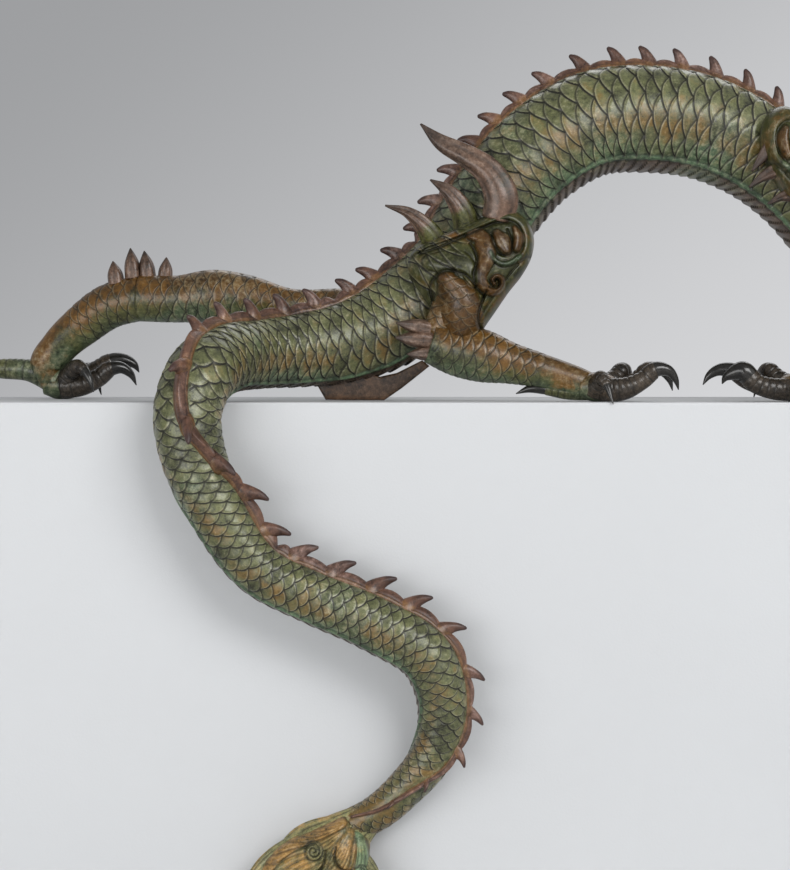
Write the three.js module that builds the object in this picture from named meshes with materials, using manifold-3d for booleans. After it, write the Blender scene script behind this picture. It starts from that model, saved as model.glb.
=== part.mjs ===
// Dragon sculpture: one bronze casting that lies along a painted display block, with its tail
// hanging down in front. Millimetres, +Z up, origin at the middle of the block's underside,
// X to the viewer's right, Y away from the viewer.
import * as THREE from "three";
import { mergeVertices } from "three/addons/utils/BufferGeometryUtils.js";
import Module from "manifold-3d";

// Display block
const blockWidth = 1400;
const blockDepth = 420;
const blockHeight = 660;
const blockEdge = 2.5;

// Trunk
const trunkSides = 9;
const trunkPitch = 25;
const crestHalfWidth = 8;
const crestHeight = 8;
const facetGain = 1.022;

// Hooked spikes along the ridge
const spikeRise = 25;
const spikeLength = 22;
const spikeWidth = 11;
const spikeLean = 10;
const tailSpikeLean = 19;
const tailSpikeEnd = 620;

// Smallest gap between the soles and the block
const restGap = 0.3;

// Every row below is x, depth behind the block's front face, height above the block's top.
// Trunk rows go from the tail tuft to the back of the head: then radius, then ridge direction.
const trunkRows = [
  [-212, -30, -419, 16.5, 0.10, -0.75, 0.65],
  [-190, -32, -408, 17.8, 0.10, -0.90, 0.40],
  [-163, -34, -385, 18.9, 0.25, -1.00, 0.10],
  [-129, -38, -339, 22.4, 0.85, -0.50, -0.10],
  [-123, -42, -301, 24.6, 1.00, -0.05, 0.05],
  [-136, -46, -254, 27.2, 0.85, 0.00, 0.50],
  [-193, -46, -216, 27.6, 0.40, 0.00, 0.90],
  [-251, -46, -191, 26.3, 0.40, 0.00, 0.90],
  [-303, -46, -164, 26.2, 0.60, -0.05, 0.80],
  [-347, -47, -100, 29.6, 0.85, -0.25, 0.40],
  [-369, -47, -49, 32.4, 0.45, -0.90, 0.10],
  [-374, -45, -10, 33.6, -0.12, -1.00, 0.00],
  [-364, -31, 24, 34.6, -0.40, -0.85, 0.40],
  [-347, 4, 41, 35.0, -0.40, -0.45, 0.80],
  [-308, 55, 49, 35.3, -0.15, -0.15, 1.00],
  [-268, 82, 53, 38.0, 0.00, 0.00, 1.00],
  [-229, 96, 59, 41.0, 0.00, 0.00, 1.00],
  [-190, 105, 72, 44.2, -0.20, 0.05, 1.00],
  [-144, 110, 102, 47.0, -0.55, 0.10, 0.80],
  [-108, 112, 135, 48.5, -0.75, 0.10, 0.65],
  [-71, 115, 195, 49.5, -0.82, 0.10, 0.55],
  [-22, 115, 254, 52.0, -0.65, 0.12, 0.75],
  [37, 115, 288.5, 54.0, -0.25, 0.12, 1.00],
  [96, 115, 293, 54.8, 0.00, 0.12, 1.00],
  [149, 115, 284.5, 53.2, 0.20, 0.12, 1.00],
  [201, 115, 260.5, 50.0, 0.50, 0.10, 0.87],
  [246, 116, 223, 45.5, 0.78, 0.10, 0.62],
  [286, 118, 176, 44.5, 0.78, 0.10, 0.62],
  [325, 120, 124, 46.0, 0.62, 0.10, 0.78],
  [375, 120, 88, 46.0, 0.25, 0.05, 1.00],
  [430, 118, 86, 44.0, -0.25, 0.00, 1.00],
  [474, 115, 114, 41.0, -0.80, 0.00, 0.60],
  [496, 112, 162, 38.0, -1.00, 0.00, 0.20],
  [502, 108, 214, 36.0, -1.00, 0.00, 0.05],
  [514, 104, 262, 35.0, -0.90, 0.00, 0.40],
  [533, 100, 298, 36.0, -0.50, 0.00, 0.90],
  [565, 98, 311, 36.0, 0.00, 0.00, 1.00],
];

// Runs of evenly spaced spikes: first and last distance from the tuft, count
const spikeRuns = [
  [48, 86, 2],
  [121, 251, 5],
  [289, 374, 3],
  [427, 474, 2],
  [515, 600, 3],
  [636, 790, 5],
  [843, 922, 3],
  [978, 1074, 4],
  [1097, 1228, 6],
  [1256, 1341, 4],
  [1369, 1481, 5],
  [1519, 1885, 10],
];

// Limb rows: x, depth, height, half-thickness toward the viewer, half-thickness in the side view
const nearHindLeg = {
  thigh: [[-38, 62, 180, 12, 15], [-60, 56, 160, 28, 32], [-90, 54, 127, 40, 42],
    [-112, 50, 93, 36, 36], [-128, 48, 66, 25, 25]],
  forearm: [[-134, 48, 61, 22], [-106, 50, 53, 27], [-76, 49, 45, 26], [-53, 48, 39, 21],
    [-28, 47, 33, 18], [-4, 46, 26, 16.5], [18, 44, 19, 15], [34, 42, 14, 12]],
  tuft: [[-128, 44, 72, 9], [-132, 42, 62, 9], [-126, 42, 50, 8]],
  tuftTips: [[-169, 40, 80], [-170, 38, 65], [-158, 40, 48]],
};
const farHindLeg = {
  thigh: [[-196, 140, 92, 24], [-228, 163, 101, 17], [-282, 178, 102, 16.5], [-331, 188, 109, 25],
    [-363, 193, 111, 28], [-404, 198, 108, 25], [-444, 205, 109, 25]],
  forearm: [[-440, 204, 110, 24], [-478, 215, 101, 24], [-510, 228, 80, 22.5], [-537, 238, 56, 20],
    [-550, 243, 36, 19], [-544, 245, 16, 14]],
  tuft: [[-470, 205, 124, 9], [-452, 204, 130, 9], [-436, 204, 130, 9], [-418, 204, 128, 8]],
  tuftTips: [[-474, 206, 149], [-455, 205, 163], [-440, 204, 160], [-416, 203, 153]],
};
const nearFrontLeg = {
  thigh: [[262, 62, 236, 10], [274, 56, 214, 27], [293, 54, 184, 38], [315, 50, 150, 34],
    [331, 48, 122, 25]],
  forearm: [[338, 48, 118, 22], [318, 49, 97, 25], [293, 48, 71, 22], [272, 47, 50, 19],
    [256, 45, 33, 17], [243, 43, 17, 14], [238, 42, 14, 12]],
  tuft: [[334, 44, 132, 9], [342, 42, 120, 9], [338, 42, 106, 8]],
  tuftTips: [[376, 40, 146], [384, 38, 126], [372, 40, 104]],
};
const farFrontLeg = {
  thigh: [[340, 140, 118, 24], [378, 165, 116, 30], [420, 185, 122, 28], [462, 200, 124, 25],
    [498, 208, 116, 24]],
  forearm: [[494, 207, 117, 23], [524, 218, 102, 24.5], [552, 230, 80, 23], [578, 239, 56, 21],
    [592, 243, 36, 19], [594, 245, 16, 14]],
  tuft: [[474, 206, 140, 9], [490, 206, 140, 9], [506, 208, 134, 9]],
  tuftTips: [[456, 204, 168], [480, 205, 172], [504, 207, 166]],
};

// One foot: rows are forward, toward the viewer, height, half-thickness
const palm = [[-18, 0, 15, 10, 12], [-6, 0, 15, 14.5, 17], [10, 0, 14, 14, 18], [24, 0, 13, 9, 12]];
const toes = {
  outer: [[2, 6, 13, 12.5], [26, 8, 13, 11.5], [46, 9, 22, 9], [60, 10, 33, 8.5], [72, 10, 31, 6],
    [79, 9, 22, 3.5], [82, 8, 12, 0.5]],
  inner: [[0, -8, 13, 12.5], [22, -13, 13, 11], [42, -14, 22, 9], [56, -14, 33, 8.5],
    [68, -14, 31, 6], [75, -13, 22, 3.5], [78, -12, 11, 0.5]],
  nearSide: [[-2, 6, 12, 12], [1, 17, 20, 9.5], [2, 25, 24, 7.5], [6, 32, 19, 5.5],
    [13, 40, 0.8, 0.5]],
  farSide: [[6, -8, 14, 12], [20, -18, 24, 9.5], [28, -25, 31, 9], [34, -34, 26, 5.5],
    [40, -42, 4, 0.5]],
  back: [[0, 0, 13, 12], [-30, -4, 10.5, 8.5], [-52, -6, 13, 6.5], [-68, -6, 13, 4.5],
    [-82, -6, 8, 0.5]],
};

// Feet: palm position, which way the long toes point (1 right, -1 left), toes of their own
const feet = [
  { x: 35, depth: 40, toward: 1, own: {
    nearSide: [[-2, 6, 12, 12], [1, 17, 20, 9.5], [2, 25, 24, 7.5], [6, 32, 19, 5.5],
      [13, 43, -2, 0.5]] } },
  { x: -536, depth: 245, toward: 1, own: {
    outer: [[2, 6, 14, 14], [26, 8, 16, 12], [44, 9, 24, 10], [56, 10, 33, 9], [68, 10, 34, 7],
      [78, 9, 27, 4.5], [84, 8, 15, 0.5]],
    inner: [[0, -8, 16, 14], [24, -13, 22, 12], [42, -14, 34, 10], [56, -14, 42, 9],
      [70, -14, 42, 7.5], [80, -13, 37, 4.5], [85, -12, 29, 0.5]],
    nearSide: [[4, 6, 14, 12], [14, 16, 28, 9.5], [21, 24, 35, 8.5], [28, 30, 33, 6.5],
      [35, 36, 24, 4.5], [41, 40, 8, 0.5]],
    back: [[-2, 0, 20, 17], [-34, 0, 31, 12], [-66, -2, 33, 10.5], [-84, -3, 34, 8],
      [-98, -4, 29, 5], [-108, -4, 14, 0.5]] } },
  { x: 240, depth: 40, toward: -1, own: {
    outer: [[2, 6, 13, 12.5], [26, 8, 13, 11], [44, 9, 18, 10], [60, 10, 31, 11], [70, 10, 28, 7],
      [76, 9, 24, 4], [79, 8, 18, 0.5]],
    inner: [[0, -8, 13, 12.5], [30, -13, 15, 10], [50, -14, 22, 10], [68, -14, 32, 8.5],
      [80, -14, 32, 6.5], [90, -13, 26, 4], [96, -12, 17, 0.5]] } },
  { x: 600, depth: 245, toward: 1, own: {} },
];

// Flames on haunch and shoulder: rows are x, depth, height, half-thickness, half-width
const flames = [
  [[-66, 50, 186, 12, 16], [-62, 46, 204, 10, 17], [-74, 48, 232, 8, 14], [-98, 52, 250, 6, 11],
    [-123, 56, 264, 4, 8], [-144, 60, 283, 0.5, 1]],
  [[-96, 66, 172, 14, 14], [-102, 56, 195, 9, 11], [-116, 54, 214, 5, 7], [-134, 58, 226, 0.5, 1]],
  [[-126, 68, 156, 14, 14], [-138, 57, 176, 8, 10], [-156, 55, 192, 4, 5.5],
    [-180, 60, 200, 0.5, 1]],
  [[285, 56, 222, 12, 16], [266, 50, 256, 10, 16], [245, 48, 278, 8, 14], [224, 48, 270, 6, 10],
    [205, 50, 250, 4, 6], [193, 52, 234, 0.5, 1]],
  [[275, 54, 206, 10, 14], [252, 48, 232, 8, 12], [228, 48, 237, 6, 9], [207, 49, 230, 4, 5.5],
    [190, 51, 218, 0.5, 1]],
  [[264, 56, 192, 8, 11], [246, 50, 208, 6, 9], [226, 50, 209, 4, 5], [209, 51, 201, 0.5, 1]],
  [[-84, 158, 166, 12, 14], [-88, 170, 196, 8, 12], [-104, 174, 218, 4, 7],
    [-124, 172, 232, 0.5, 1]],
  [[300, 158, 188, 12, 14], [284, 170, 222, 8, 12], [262, 174, 238, 4, 7],
    [240, 172, 240, 0.5, 1]],
];

// Flat fin under the hip that stands on the block: side outline as x, height, and its depths
const finOutline = [[-250, 40], [-250, 15], [-241, 0], [-181, 0], [-163, 13], [-134, 36], [-142, 42],
  [-168, 29], [-196, 24], [-205, 40]];
const finDepths = [93, 107];

// Tail tuft locks: x, depth, height, half-thickness, half-width
const tuftLocks = [
  [[-194, -33, -410, 16, 16], [-220, -33, -430, 20, 27], [-245, -34, -454, 22, 43],
    [-250, -34, -486, 21, 46], [-250, -34, -520, 17, 36], [-244, -34, -552, 11, 18],
    [-236, -34, -588, 1, 1]],
  [[-226, -35, -428, 14, 16], [-262, -36, -440, 14, 15], [-298, -36, -464, 11, 13],
    [-314, -36, -492, 8, 10], [-316, -35, -520, 4, 6], [-306, -35, -540, 1, 1]],
  [[-240, -34, -462, 14, 16], [-282, -34, -486, 12, 15], [-306, -34, -520, 8, 11],
    [-318, -34, -556, 1, 1]],
  [[-238, -34, -480, 14, 16], [-272, -34, -516, 12, 14], [-284, -34, -552, 7, 10],
    [-280, -34, -590, 1, 1]],
  [[-226, -35, -440, 15, 14], [-204, -36, -462, 14, 15], [-192, -36, -492, 11, 13],
    [-184, -36, -520, 7, 9], [-166, -35, -546, 1, 1]],
  [[-228, -34, -470, 14, 15], [-212, -34, -508, 12, 14], [-200, -34, -545, 8, 10],
    [-186, -34, -584, 1, 1]],
];

// Head, in its own directions: forward, toward the viewer, up, then half-height, half-width
const headOrigin = [563, 98, 311];
const headScale = 1.13;
const skull = [[-34, 0, -4, 30, 30], [0, 0, 2, 37, 34], [26, 0, 8, 35, 35], [52, 0, 6, 26, 30],
  [76, 0, 0, 17, 23], [98, 0, -1, 15, 20], [112, 0, 4, 14, 17], [120, 0, 3, 8, 10]];
const jaw = [[-4, 0, -22, 14, 22], [30, 0, -36, 10, 19], [62, 0, -42, 8, 16], [88, 0, -40, 7, 13],
  [102, 0, -34, 4, 7]];
const headPairs = [
  [[4, 14, 32, 8], [-14, 20, 52, 8], [-42, 26, 70, 6.5], [-74, 30, 80, 5], [-104, 30, 98, 0.8]],
  [[-36, 25, 66, 6], [-44, 30, 86, 5], [-40, 32, 108, 0.8]],
  [[-8, 30, 14, 6, 9], [-28, 44, 22, 4, 11], [-54, 54, 36, 0.8, 1]],
  [[18, 25, 22, 9], [38, 27, 32, 9], [56, 22, 28, 7], [66, 16, 18, 4]],
  [[92, 9, 8, 8], [106, 12, 14, 8.5], [117, 12, 12, 6]],
  [[92, 15, -6, 4], [94, 15, -20, 3.5], [92, 15, -32, 0.6]],
  [[84, 10, -38, 4], [86, 11, -26, 3], [84, 11, -14, 0.6]],
  [[100, 14, 0, 5], [112, 30, -4, 4], [112, 46, 10, 3], [100, 54, 30, 2.4], [84, 58, 52, 0.8]],
  [[-6, 26, 0, 13], [-32, 38, -4, 10], [-62, 48, 6, 6], [-86, 52, 22, 0.8]],
  [[-2, 26, -14, 13], [-26, 38, -26, 10], [-54, 46, -26, 6], [-80, 52, -14, 0.8]],
  [[4, 22, -26, 12], [-16, 32, -46, 9], [-42, 38, -54, 6], [-68, 44, -48, 0.8]],
  [[18, 16, -36, 10], [4, 20, -60, 8], [-18, 24, -76, 5], [-40, 30, -78, 0.8]],
];
const beard = [[[66, 0, -42, 9, 12], [60, 0, -62, 7, 10], [46, 0, -82, 5, 6], [30, 0, -100, 0.8, 1]],
  [[84, 4, -40, 7, 9], [82, 6, -58, 5, 6], [72, 8, -78, 0.8, 1]]];

const wasm = await Module();
wasm.setup();

const place = (x, depth, height) =>
  new THREE.Vector3(x, depth - blockDepth / 2, height + blockHeight);

// Smooth curve through rows of numbers, spaced by the distance between their first three.
function smooth(rows, steps) {
  const gaps = rows.slice(1).map((row, i) =>
    Math.hypot(row[0] - rows[i][0], row[1] - rows[i][1], row[2] - rows[i][2]));
  const slopes = gaps.map((gap, i) => rows[i].map((value, k) => (rows[i + 1][k] - value) / gap));
  const tangents = rows.map((row, i) => row.map((_, k) => {
    if (i === 0) return slopes[0][k];
    if (i === gaps.length) return slopes[i - 1][k];
    return (slopes[i - 1][k] * gaps[i] + slopes[i][k] * gaps[i - 1]) / (gaps[i - 1] + gaps[i]);
  }));
  const out = [];
  for (let i = 0; i < gaps.length; i += 1) {
    for (let j = 0; j < steps; j += 1) {
      const u = j / steps;
      const a = (1 + 2 * u) * (1 - u) ** 2;
      const b = u * (1 - u) ** 2 * gaps[i];
      const c = u * u * (3 - 2 * u);
      const d = u * u * (u - 1) * gaps[i];
      out.push(rows[i].map((value, k) =>
        a * value + b * tangents[i][k] + c * rows[i + 1][k] + d * tangents[i + 1][k]));
    }
  }
  out.push(rows[rows.length - 1]);
  return out;
}

function toSolid(geometry) {
  const bare = geometry.clone();
  bare.deleteAttribute("normal");
  bare.deleteAttribute("uv");
  const merged = mergeVertices(bare, 1e-4);
  return new wasm.Manifold(new wasm.Mesh({
    numProp: 3,
    vertProperties: new Float32Array(merged.attributes.position.array),
    triVerts: new Uint32Array(merged.index.array),
  }));
}

// Closed body from rings of equal size; a last ring of one point makes a tip.
function skin(rings) {
  const points = rings.flat();
  const sides = rings[0].length;
  const triangles = [];
  let start = 0;
  for (let i = 0; i + 1 < rings.length; i += 1) {
    const next = start + sides;
    const tip = rings[i + 1].length === 1;
    for (let k = 0; k < sides; k += 1) {
      const m = (k + 1) % sides;
      if (tip) {
        triangles.push([start + k, start + m, next]);
      } else {
        triangles.push([start + k, start + m, next + m], [start + k, next + m, next + k]);
      }
    }
    start = next;
  }
  for (let k = 1; k + 1 < sides; k += 1) {
    triangles.push([0, k + 1, k]);
    if (rings[rings.length - 1].length > 1) triangles.push([start, start + k, start + k + 1]);
  }
  const geometry = new THREE.BufferGeometry().setFromPoints(points);
  geometry.setIndex(triangles.flat());
  return toSolid(geometry);
}

// Ring of a limb: an ellipse across the tangent, first half-size along the lean direction.
function ring(centre, tangent, lean, a, b, sides) {
  const up = lean.clone().addScaledVector(tangent, -lean.dot(tangent)).normalize();
  const across = new THREE.Vector3().crossVectors(tangent, up);
  return Array.from({ length: sides }, (_, k) => {
    const angle = (k / sides) * 2 * Math.PI;
    return centre.clone()
      .addScaledVector(up, a * Math.cos(angle))
      .addScaledVector(across, b * Math.sin(angle));
  });
}

function sweep(rows, { sides = 6, steps = 1, lean = new THREE.Vector3(0, 1, 0), to = place } = {}) {
  const even = rows.map((row) => (row.length === 4 ? [...row, row[3]] : row));
  const path = smooth(even, steps);
  const centres = path.map(([x, depth, height]) => to(x, depth, height));
  const rings = path.map(([, , , a, b], i) => {
    if (i === path.length - 1 && a <= 1) return [centres[i]];
    const before = centres[Math.max(i - 1, 0)];
    const after = centres[Math.min(i + 1, centres.length - 1)];
    const tangent = after.clone().sub(before).normalize();
    return ring(centres[i], tangent, lean, a * facetGain, b * facetGain, sides);
  });
  return skin(rings);
}

// Trunk stations: centre, tangent, ridge direction and radius at any distance from the tuft
const dense = smooth(trunkRows, 12);
const denseCentres = dense.map(([x, depth, height]) => place(x, depth, height));
const distances = [0];
for (let i = 1; i < denseCentres.length; i += 1) {
  distances.push(distances[i - 1] + denseCentres[i].distanceTo(denseCentres[i - 1]));
}
const trunkLength = distances[distances.length - 1];

function station(distance) {
  const wanted = Math.min(Math.max(distance, 0), trunkLength);
  let i = 1;
  while (i < distances.length - 1 && distances[i] < wanted) i += 1;
  const share = (wanted - distances[i - 1]) / (distances[i] - distances[i - 1]);
  const centre = denseCentres[i - 1].clone().lerp(denseCentres[i], share);
  const before = denseCentres[Math.max(i - 2, 0)];
  const after = denseCentres[Math.min(i + 1, denseCentres.length - 1)];
  const tangent = after.clone().sub(before).normalize();
  const row = dense[i - 1].map((value, k) => value + (dense[i][k] - value) * share);
  const ridge = new THREE.Vector3(row[4], row[5], row[6]);
  ridge.addScaledVector(tangent, -ridge.dot(tangent)).normalize();
  const side = new THREE.Vector3().crossVectors(tangent, ridge);
  return { centre, tangent, ridge, side, radius: row[3] };
}

// The trunk: a round section with a low crest along its ridge.
function trunk() {
  const count = Math.round(trunkLength / trunkPitch);
  const rings = Array.from({ length: count + 1 }, (_, i) => {
    const distance = (i / count) * trunkLength;
    const { centre, ridge, side, radius } = station(distance);
    const fade = Math.min(1, 0.25 + distance / 140);
    const half = Math.asin((crestHalfWidth * fade) / radius);
    const at = (angle, reach) => centre.clone()
      .addScaledVector(ridge, reach * Math.cos(angle))
      .addScaledVector(side, reach * Math.sin(angle));
    const points = [at(0, radius + crestHeight * fade)];
    for (let k = 0; k <= trunkSides; k += 1) {
      const angle = half + ((2 * Math.PI - 2 * half) * k) / trunkSides;
      points.push(at(angle, radius * facetGain));
    }
    return points;
  });
  return skin(rings);
}

// A spike: broad foot sunk in the crest, hooked back toward the tail.
function spike(distance) {
  const { centre, tangent, ridge, side, radius } = station(distance);
  const size = Math.min(1, 0.35 + distance / 180);
  const lean = (distance < tailSpikeEnd ? tailSpikeLean : spikeLean) * size;
  const rise = spikeRise * size;
  const at = (up, back) => centre.clone()
    .addScaledVector(ridge, radius + up)
    .addScaledVector(tangent, -back);
  const levels = [
    { middle: at(-3, 0), long: spikeLength * size, wide: (spikeWidth + 3) * size },
    { middle: at(rise * 0.6, lean * 0.3), long: spikeLength * 0.55 * size, wide: spikeWidth * 0.6 },
  ];
  const rings = levels.map(({ middle, long, wide }) =>
    [[1, 0], [-1, -1], [-1, 1]].map(([a, b]) => middle.clone()
      .addScaledVector(tangent, (a * long) / 2)
      .addScaledVector(side, (b * wide) / 2)));
  return skin([...rings, [at(rise, lean)]]);
}

function spikes() {
  return spikeRuns.flatMap(([first, last, count]) => Array.from({ length: count }, (_, k) =>
    spike(first + ((last - first) * k) / (count - 1))));
}

function leg({ thigh, forearm, tuft, tuftTips }) {
  const tufts = tuft.map((row, k) => {
    const tip = tuftTips[k];
    const middle = [0, 1, 2].map((n) => row[n] * 0.45 + tip[n] * 0.55);
    return sweep([row, [...middle, row[3] * 0.7], [...tip, 0.5]], { sides: 4 });
  });
  return [sweep(thigh, { sides: 9 }), sweep(forearm, { sides: 8 }), ...tufts];
}

function foot({ x, depth, toward, own }) {
  const to = (forward, out, up) => place(x + toward * forward, depth - out, up);
  const heights = new THREE.Vector3(0, 0, 1);
  const lengthways = new THREE.Vector3(1, 0, 0);
  const grown = Object.entries({ ...toes, ...own }).map(([name, rows]) =>
    sweep(rows, { to, lean: name.endsWith("Side") ? lengthways : heights, sides: 4 }));
  return [sweep(palm, { to, lean: heights, sides: 8 }), ...grown];
}

// The fin: its side outline pushed through its thickness, then stood upright.
function fin() {
  const outline = finOutline.map(([x, height]) => new THREE.Vector2(x, height));
  const [near, far] = finDepths;
  const geometry = new THREE.ExtrudeGeometry(new THREE.Shape(outline), {
    depth: far - near,
    bevelEnabled: false,
  });
  geometry.rotateX(Math.PI / 2);
  geometry.translate(0, far - blockDepth / 2, blockHeight);
  return toSolid(geometry);
}

function head() {
  const [x, depth, height] = headOrigin;
  const up = new THREE.Vector3(0, 0, 1);
  const piece = (rows, sides, sign = 1) => sweep(
    rows.map((row) => row.map((value) => value * headScale)),
    { to: (forward, out, rise) => place(x + forward, depth - out * sign, height + rise),
      lean: up, sides },
  );
  const middle = [piece(skull, 8), piece(jaw, 6), ...beard.map((rows) => piece(rows, 5))];
  const pairs = headPairs.flatMap((rows) => [piece(rows, 5, 1), piece(rows, 5, -1)]);
  return [...middle, ...pairs];
}

function dragon() {
  const flat = new THREE.Vector3(0, 1, 0);
  const legs = [nearHindLeg, farHindLeg, nearFrontLeg, farFrontLeg].flatMap(leg);
  const parts = [
    trunk(),
    ...spikes(),
    ...legs,
    ...feet.flatMap(foot),
    ...flames.map((rows) => sweep(rows, { sides: 6, lean: flat })),
    ...tuftLocks.map((rows) => sweep(rows, { sides: 7, lean: flat })),
    ...head(),
    fin(),
  ];
  const whole = wasm.Manifold.union(parts);
  const belowSoles = new THREE.BoxGeometry(blockWidth, blockDepth + 2 * restGap, 200);
  belowSoles.translate(0, 0, blockHeight + restGap - 100);
  return whole.subtract(toSolid(belowSoles));
}

function block() {
  const shape = new THREE.Shape();
  const halfWidth = blockWidth / 2 - blockEdge;
  const halfDepth = blockDepth / 2 - blockEdge;
  shape.moveTo(-halfWidth, -halfDepth);
  shape.lineTo(halfWidth, -halfDepth);
  shape.lineTo(halfWidth, halfDepth);
  shape.lineTo(-halfWidth, halfDepth);
  shape.closePath();
  const geometry = new THREE.ExtrudeGeometry(shape, {
    depth: blockHeight - 2 * blockEdge,
    bevelThickness: blockEdge,
    bevelSize: blockEdge,
    bevelSegments: 2,
  });
  geometry.translate(0, 0, blockEdge);
  return geometry;
}

function toGeometry(manifold) {
  const mesh = manifold.getMesh();
  const geometry = new THREE.BufferGeometry();
  geometry.setAttribute("position", new THREE.BufferAttribute(mesh.vertProperties, 3));
  geometry.setIndex(new THREE.BufferAttribute(mesh.triVerts, 1));
  return geometry;
}

function part(name, geometry, color, metalness, roughness) {
  const material = new THREE.MeshStandardMaterial({ color, metalness, roughness });
  material.flatShading = true;
  const mesh = new THREE.Mesh(geometry, material);
  mesh.name = name;
  return mesh;
}

const sculpture = new THREE.Group();
sculpture.name = "dragon_sculpture";
sculpture.add(part("dragon", toGeometry(dragon()), 0x6f7a4d, 0.6, 0.55));
sculpture.add(part("plinth", block(), 0xdadcdc, 0, 0.6));

export default sculpture;
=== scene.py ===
# Bronze dragon with a verdigris patina, lying along a painted display block.
import math
import bpy
import numpy as np
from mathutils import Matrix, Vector


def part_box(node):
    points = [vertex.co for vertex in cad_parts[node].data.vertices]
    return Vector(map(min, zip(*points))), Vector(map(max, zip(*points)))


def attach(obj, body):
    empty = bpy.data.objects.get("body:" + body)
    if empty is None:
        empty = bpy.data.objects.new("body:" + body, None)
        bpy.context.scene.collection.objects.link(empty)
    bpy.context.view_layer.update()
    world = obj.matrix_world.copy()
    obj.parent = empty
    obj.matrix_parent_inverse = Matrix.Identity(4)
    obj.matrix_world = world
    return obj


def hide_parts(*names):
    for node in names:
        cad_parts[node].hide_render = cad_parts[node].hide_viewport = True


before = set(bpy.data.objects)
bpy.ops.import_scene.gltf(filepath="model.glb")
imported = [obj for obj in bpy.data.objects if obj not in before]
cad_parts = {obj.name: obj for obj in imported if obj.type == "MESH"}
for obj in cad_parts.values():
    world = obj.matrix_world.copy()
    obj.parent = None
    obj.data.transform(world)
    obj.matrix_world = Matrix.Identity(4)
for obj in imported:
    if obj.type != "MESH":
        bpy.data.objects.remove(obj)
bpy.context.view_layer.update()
mm = 0.001

blockLow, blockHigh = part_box("plinth")
frontY, topZ = blockLow[1], blockHigh[2]
viewerSide = np.array([0.0, 1.0, 0.0])
upward = np.array([0.0, 0.0, 1.0])
lengthways = np.array([1.0, 0.0, 0.0])


def place(rows):
    # x, depth behind the block's front and height above its top, in mm, to the frame in metres
    return np.asarray(rows, float)[..., :3] * mm + np.array([0.0, frontY, topZ])


# curves, rings and shells

def smoothRows(rows, count):
    # cubic through the rows: slopes at a row are the two chord slopes weighted by the other chord
    rows = np.asarray(rows, float)
    gap = np.linalg.norm(np.diff(rows[:, :3], axis=0), axis=1)
    knots = np.concatenate([[0.0], np.cumsum(gap)])
    slope = np.diff(rows, axis=0) / gap[:, None]
    tangent = np.empty_like(rows)
    tangent[0], tangent[-1] = slope[0], slope[-1]
    weight = gap[:, None]
    tangent[1:-1] = (slope[:-1] * weight[1:] + slope[1:] * weight[:-1]) / (weight[1:] + weight[:-1])
    at = np.linspace(0.0, knots[-1], count)
    i = np.clip(np.searchsorted(knots, at, side="right") - 1, 0, len(gap) - 1)
    g = gap[i][:, None]
    t = (at - knots[i])[:, None] / g
    return ((1 + 2 * t) * (1 - t) ** 2 * rows[i] + t * (1 - t) ** 2 * g * tangent[i]
            + t * t * (3 - 2 * t) * rows[i + 1] + t * t * (t - 1) * g * tangent[i + 1])


def unit(vectors):
    return vectors / np.maximum(np.linalg.norm(vectors, axis=-1, keepdims=True), 1e-12)


def smoothStep(low, high, value):
    t = np.clip((value - low) / (high - low), 0.0, 1.0)
    return t * t * (3 - 2 * t)


def framesAlong(centres, lean):
    # tangent by central difference, up is the lean made square to it, across is tangent x up
    tangent = unit(np.gradient(centres, axis=0))
    up = unit(lean - np.sum(lean * tangent, -1, keepdims=True) * tangent)
    return tangent, up, np.cross(tangent, up)


def lengthAlong(centres):
    step = np.linalg.norm(np.diff(centres, axis=0), axis=1)
    return np.concatenate([[0.0], np.cumsum(step)])


def enclosedVolume(points, quads, triangles):
    # six times the volume: the sum of a . (b x c) over all triangles; negative when inside out
    around = points - points.mean(0)
    corners = np.concatenate([quads[:, [0, 1, 2]], quads[:, [0, 2, 3]], triangles])
    a, b, c = (around[corners[:, k]] for k in range(3))
    return np.sum(a * np.cross(b, c))


def shell(rings, attributes=None):
    # rings of equal size, joined by quads; a fan to the middle of its ring closes each end
    count, sides = rings.shape[:2]
    index = np.arange(count * sides).reshape(count, sides)
    ahead = np.roll(index, -1, axis=1)
    quads = np.stack([index[:-1], ahead[:-1], ahead[1:], index[1:]], -1).reshape(-1, 4)
    firstPole, lastPole = np.full(sides, count * sides), np.full(sides, count * sides + 1)
    triangles = np.concatenate([np.stack([ahead[0], index[0], firstPole], -1),
                                np.stack([index[-1], ahead[-1], lastPole], -1)])

    def withPoles(grid):
        return np.concatenate([grid.reshape(count * sides, -1), grid[:1].mean(1), grid[-1:].mean(1)])

    values = {}
    for key, value in (attributes or {}).items():
        value = np.asarray(value, float)
        if value.ndim == 2:
            value = value[..., None]
        values[key] = withPoles(np.broadcast_to(value, (count, sides, value.shape[-1])))
    points = withPoles(rings)
    if enclosedVolume(points, quads, triangles) < 0:
        quads, triangles = quads[:, ::-1], triangles[:, ::-1]
    return {"points": points, "quads": quads, "triangles": triangles, "values": values}


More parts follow.
